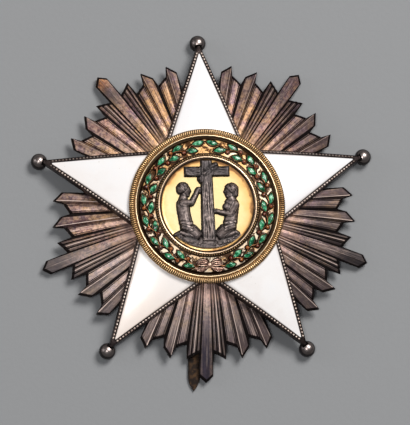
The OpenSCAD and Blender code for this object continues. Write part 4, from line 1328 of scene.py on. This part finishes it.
BUST = [((-4.75, -0.45, 0.45, 0.82), (-5.25, -0.85, 0.45, 0.78), 0.95)]  # under the dress
WOUND_CLOTH = [
    [((2.3, 10.35, 0.35, 0.66), (1.05, 9.8, 0.55, 0.62), 1)],
    [((2.6, 9.75, 0.3, 0.34), (1.35, 9.15, 0.6, 0.4), 1)],
    [((1.55, 10.1, 0.5, 0.42), (-0.2, 8.9, 0.8, 0.42), 0.9)],
    [((1.3, 9.45, 0.5, 0.42), (-0.75, 8.0, 0.8, 0.46), 0.9)],
    [((0.75, 8.75, 0.5, 0.42), (-1.35, 7.45, 0.7, 0.46), 0.9)],
    [((-0.6, 8.15, 0.5, 0.5), (-1.75, 6.8, 0.4, 0.56), 1)],
    [((-1.2, 7.2, 0.45, 0.5), (-1.5, 6.15, 0.3, 0.44), 1)],
]
HEAD_SIZE = 1.03
# A low flange around the castings, black as painted shade along their outlines: its width and height
FLANGE_W = 0.28
FLANGE_H = 0.2
GRAIN_DEPTH = 0.15
HAIR_DEPTH = 0.1
CLOD_DEPTH = 0.12
# Widths of the black lines, painted shade, beside each part and along the edges
LINE_W = 0.3
EDGE_LINE_W = 0.27


def placed(rows, mirrored, at=(0, 0), size=1.0):
    """Rows of bars moved to their place, with x turned over where the figure faces -X."""
    side = -1 if mirrored else 1
    moved = []
    for one, two, flat in rows:
        ends = [(side * (x * size + at[0]), y * size + at[1], z, r * size) for x, y, z, r in (one, two)]
        moved.append((*ends, flat))
    return moved


def bar(bm, one, two, flat):
    """Hull of two flattened balls."""
    shape = bmesh.new()
    for x, y, z, radius in (one, two):
        bmesh.ops.create_icosphere(shape, subdivisions=2, radius=radius,
                                   matrix=Matrix.Translation((x, y, z)) @ Matrix.Diagonal((1, 1, flat, 1)))
    bmesh.ops.delete(shape, geom=shape.faces[:], context="FACES_ONLY")
    hull = bmesh.ops.convex_hull(shape, input=shape.verts)
    bmesh.ops.delete(shape, geom=verts_of(hull["geom_interior"]), context="VERTS")
    bmesh.ops.recalc_face_normals(shape, faces=shape.faces)
    pour(bm, shape)


def beam(bm, x0, x1, y0, y1, height, spread=0.0):
    """Squared timber with eased edges; spread widens its foot."""
    shape = bmesh.new()
    place = Matrix.Translation(((x0 + x1) / 2, (y0 + y1) / 2, height / 2 - 0.2)) @ Matrix.Diagonal(
        (x1 - x0, y1 - y0, height + 0.4, 1))
    bmesh.ops.create_cube(shape, size=1, matrix=place)
    for vert in shape.verts:
        if vert.co.y < (y0 + y1) / 2:
            vert.co.x += math.copysign(spread, vert.co.x)
    bmesh.ops.bevel(shape, geom=shape.edges[:], offset=0.16, offset_type="OFFSET", segments=2, profile=0.5,
                    affect="EDGES", material=-1)
    pour(bm, shape)


HEAD_AT = (-5.9, 3.92)
FACING_HEAD_AT = (-6.05, 3.62)
CROSS_TOP = 11.45
TIMBER_H = 0.95
SHAFT_W = 1.25
SHAFT_FOOT = -9.2
SHAFT_SPREAD = 0.35
BEAM_X = (-5.5, 5.7)
BEAM_Y = (7.6, 9.85)
MOUND_R = 11.05
MOUND_H = 0.7
MOUND_TOP = -8.7
STONES = 64
STONES_TO = 7.6
# The parts of the group from the back to the front: dark lines, painted shade, show where one lies
# over another
layers = []
hair_layers = []
for mirrored, at, hair, arm_rows, foot in (
        (False, HEAD_AT, SHORT_HAIR, RAISED_ARM, LONG_FOOT),
        (True, FACING_HEAD_AT, LONG_HAIR, STRETCHED_ARM, SHORT_FOOT)):
    layers += [placed(rows, mirrored) for rows in (FAR_THIGH, TRUNK, foot, CALF, NEAR_THIGH)]
    layers += [placed([row], mirrored) for row in CLOTH]
    layers += [placed(BUST, True)] if mirrored else []
    layers += [placed(HEAD, mirrored, at, HEAD_SIZE), placed(hair, mirrored, at, HEAD_SIZE)]
    hair_layers.append(layers[-1])
    layers.append(placed(arm_rows, mirrored))
layers += WOUND_CLOTH

bm = bmesh.new()
for wider, height in ((0, TIMBER_H), (FLANGE_W, FLANGE_H)):
    beam(bm, -SHAFT_W - wider, SHAFT_W + wider, SHAFT_FOOT, CROSS_TOP + wider, height, SHAFT_SPREAD)
    beam(bm, BEAM_X[0] - wider, BEAM_X[1] + wider, BEAM_Y[0] - wider, BEAM_Y[1] + wider, height * 0.9)
for rows in layers:
    for one, two, flat in rows:
        bar(bm, one, two, flat)
        # A low flange around the castings, black as painted shade along their outlines
        ends = [(x, y, 0, r + FLANGE_W) for x, y, _, r in (one, two)]
        bar(bm, *ends, FLANGE_H / (max(one[3], two[3]) + FLANGE_W))

random.seed(5)
# The mound: a slice of the disc, and at each side a slanted slice that runs up under the foot
for middle, end, low in (
        ((0, 0), (-9.2, -9.3), (9.2, -9.3)),
        ((-0.5, 0.1), (-9.2, -7.2), (-2.0, -9.2)), ((0.4, 0), (9.2, -7.4), (2.0, -9.2))):
    run = Vector((low[0] - end[0], low[1] - end[1]))
    slice_up = Vector((-run.y, run.x, 0)) * math.copysign(1, run.x)
    mound = bmesh.new()
    bmesh.ops.create_circle(mound, cap_ends=True, segments=96, radius=MOUND_R,
                            matrix=Matrix.Translation((*middle, 0)))
    bmesh.ops.bisect_plane(mound, geom=everything(mound), plane_co=(*end, 0), plane_no=slice_up.normalized(),
                           clear_outer=True)
    lifted = bmesh.ops.extrude_face_region(mound, geom=mound.faces[:])["geom"]
    bmesh.ops.translate(mound, vec=(0, 0, MOUND_H), verts=verts_of(lifted))
    bmesh.ops.translate(mound, vec=(0, 0, -0.1), verts=mound.verts)
    bmesh.ops.recalc_face_normals(mound, faces=mound.faces)
    pour(bm, mound)
# Wedges at the foot of the shaft, and stones all over the mound
for side in (-1, 1):
    bar(bm, (side * 1.95, -8.75, 0.2, 0.5), (side * 2.1, -9.6, 0.3, 0.6), 0.9)
for stone in range(STONES):
    x = random.uniform(-STONES_TO, STONES_TO)
    low = -math.sqrt((MOUND_R - 0.2)**2 - x**2) + 0.3
    # The top of the mound dips under each figure
    high = MOUND_TOP - 0.75 * math.sin(math.pi * min(abs(x) / STONES_TO, 1)) ** 0.7
    y = random.uniform(low, max(low, high))
    size = random.uniform(0.25, 0.45)
    far_end = (x + random.uniform(-0.7, 0.7), y + random.uniform(-0.1, 0.1), 0.38, size * 0.7)
    bar(bm, (x, y, 0.42, size), far_end, 0.9)


def held(value, top=1.0):
    """The value, but not below 0 or above top."""
    return min(max(value, 0), top)


def box_around(rows):
    """Box of some bars and the dark line around them: (x0, x1, y0, y1)."""
    ends = [end for one, two, _ in rows for end in (one, two)]
    return [limit(end[axis] + side * end[3] for end in ends) + side * LINE_W
            for axis in (0, 1) for limit, side in ((min, -1), (max, 1))]


def beyond(rows, x, y):
    """How far a place lies outside the outline of some bars; less than 0 when it lies within."""
    nearest = 1e9
    for (x0, y0, _, r0), (x1, y1, _, r1), _ in rows:
        run = Vector((x1 - x0, y1 - y0))
        share = held(Vector((x - x0, y - y0)).dot(run) / max(run.length_squared, 1e-6))
        away = math.hypot(x - x0 - run.x * share, y - y0 - run.y * share)
        nearest = min(nearest, away - r0 - (r1 - r0) * share)
    return nearest


rough = bpy.data.objects.new("relief_rough", template_of(bm, "relief_rough"))
bpy.context.scene.collection.objects.link(rough)
remesh = rough.modifiers.new("remesh", "REMESH")
remesh.mode = "VOXEL"
remesh.voxel_size = VOXEL
bm = bmesh.new()
bm.from_object(rough, bpy.context.evaluated_depsgraph_get())
bpy.data.objects.remove(rough)
bmesh.ops.smooth_vert(bm, verts=bm.verts, factor=0.5, use_axis_x=True, use_axis_y=True, use_axis_z=True)
bmesh.ops.bisect_plane(bm, geom=everything(bm), plane_co=(0, 0, 0.001), plane_no=(0, 0, 1), clear_inner=True)
bmesh.ops.triangle_fill(bm, use_beauty=True, normal=(0, 0, -1), edges=open_edges(bm))
ink_layer = new_layer(bm, "ink")
boxes = [box_around(rows) for rows in layers]
# Grain of the wood, hair, clods of the mound, and dark lines along the edges and beside each part,
# which are painted shade
for vert in bm.verts:
    x, y, z = vert.co
    if z < 0.02:
        continue
    on_shaft = abs(x) < 1.8 and y > MOUND_TOP
    on_beam = abs(x) < 5.85 and BEAM_Y[0] - 0.15 < y < BEAM_Y[1] + 0.15
    ink_value = 0
    if (on_shaft or on_beam) and z > 0.4:
        along = Vector((x * 0.5, y * 3.4, 0)) if on_beam and not on_shaft else Vector((x * 3.0, y * 0.35, 0))
        grain = noise.noise(along) + 0.6 * noise.noise(along * 2.1 + Vector((0, 0, 5)))
        if z < TIMBER_H + 0.07:
            vert.co.z += GRAIN_DEPTH * grain
        ink_value = held((-0.16 - grain) / 0.14, 0.97)
    inside = SHAFT_W + SHAFT_SPREAD * (CROSS_TOP - y) / (CROSS_TOP - SHAFT_FOOT) - abs(x)
    if on_beam:
        inside = max(inside, min(5.6 - abs(x - 0.1), y - BEAM_Y[0], BEAM_Y[1] - y))
    for rows, (x0, x1, y0, y1) in zip(layers, boxes):
        if x0 < x < x1 and y0 < y < y1:
            gap = beyond(rows, x, y)
            inside = max(inside, -gap)
            if gap < -0.03:
                strand = noise.noise(Vector((x * 3.2 + y * 1.5, y * 1.1, 7))) if rows in hair_layers else 0
                vert.co.z += HAIR_DEPTH * strand
                ink_value = held(-strand * 3.5, 0.8)
            elif gap < LINE_W:
                ink_value = max(ink_value, held(1.6 * (1 - gap / LINE_W)))
    if 0 <= inside < EDGE_LINE_W:
        ink_value = max(ink_value, 1 - 0.55 * inside / EDGE_LINE_W)
    if inside < 0 and ink_value == 0 and y < -7:
        vert.co.z += CLOD_DEPTH * noise.noise(vert.co * 2.6)
        ink_value = held((-0.1 - noise.noise(Vector((x * 1.6, y * 2.4, 3)))) * 4, 0.9)
    # All that lies low, the flange and the foot of each form, is black: painted shade
    vert[ink_layer] = max(ink_value, held((0.46 - z) / 0.18))
bmesh.ops.translate(bm, vec=(0, 0, RELIEF_Z), verts=bm.verts)

relief_silver, tree, shader = new_material("relief_dark_silver")
colour, clouds = toned(
    tree, (0.305, 0.235, 0.212), (0.103, 0.077, 0.072), (0.022, 0.016, 0.018), 0.54, 1300.0, 3200.0)
up = axes(tree)[1]
hollow = new_shade(tree, "ShaderNodeNewGeometry", "Pointiness")
# Black in the hollows, pale on the edges, and darker at the cross's top and in the mound
for place, low, high, at_low, at_high, tone in (
        (hollow, 0.455, 0.492, 0.95, 0, (0.01, 0.008, 0.008)),
        (hollow, 0.51, 0.55, 0, 0.7, (0.53, 0.42, 0.37)),
        (up, 0.002, 0.0085, 0, 0.72, (0.035, 0.03, 0.034)),
        (up, -0.0068, -0.008, 0, 0.55, (0.04, 0.032, 0.034)),
        # The ink holds the wood's grain, the hair, the clods and the painted shade lines
        (attribute(tree, "ink"), 0, 1, 0, 0.97, (0.01, 0.007, 0.006))):
    colour = colour.under(place.fit(low, high, at_low, at_high), tone)
feed(tree, shader, {
    "Base Color": colour, "Metallic": 0.45, "Roughness": satin(clouds, 0.34, 0.52),
    "Normal": fine_grain(tree, 2600, 0.00003, 0.7)})
finish_piece("relief_cast", bm, relief_silver, "relief_silver", 60, "medallion_relief")

# Post and pin at the back
# A silver post with a six-sided nut clamps the parts together. The pin is a flat gilt
# blade on a hinge block, and its leaf-shaped point shows past the lowest rays.
post_silver, tree, shader = new_material("post_silver")
grey, clouds = toned(tree, (0.66, 0.62, 0.58), (0.34, 0.28, 0.25), (0.1, 0.08, 0.07), 0.45, 260.0, 2400.0)
feed(tree, shader, {
    "Base Color": grey, "Metallic": 0.95, "Roughness": satin(clouds, 0.28, 0.42),
    "Normal": fine_grain(tree, 2200, 0.00003)})
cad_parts["centre_post"].material_slots[0].material = post_silver

# Where the blade's middle line crosses the star's own, in metres, and its slant
BLADE_CROSSING = 0.0518
BLADE_SLANT = 0.0403
pin_metal, tree, shader = new_material("pin_brown_gilt")
brown, clouds = toned(
    tree, (0.075, 0.04, 0.018), (0.014, 0.009, 0.007), (0.007, 0.005, 0.004), 0.56, 620.0, 2300.0)
# Dark along both edges of the blade, whose middle line runs slightly aslant
right, up, _ = axes(tree)
aside = right + (up * -1.0 + BLADE_CROSSING) * BLADE_SLANT
feed(tree, shader, {
    "Base Color": brown.under(aside.apply("ABSOLUTE").fit(0.0009, 0.0014, 0, 0.95), (0.006, 0.004, 0.003)),
    "Metallic": 0.9, "Roughness": satin(clouds, 0.3, 0.46),
    "Normal": fine_grain(tree, 1700, 0.00004)})
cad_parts["brooch_pin"].material_slots[0].material = pin_metal
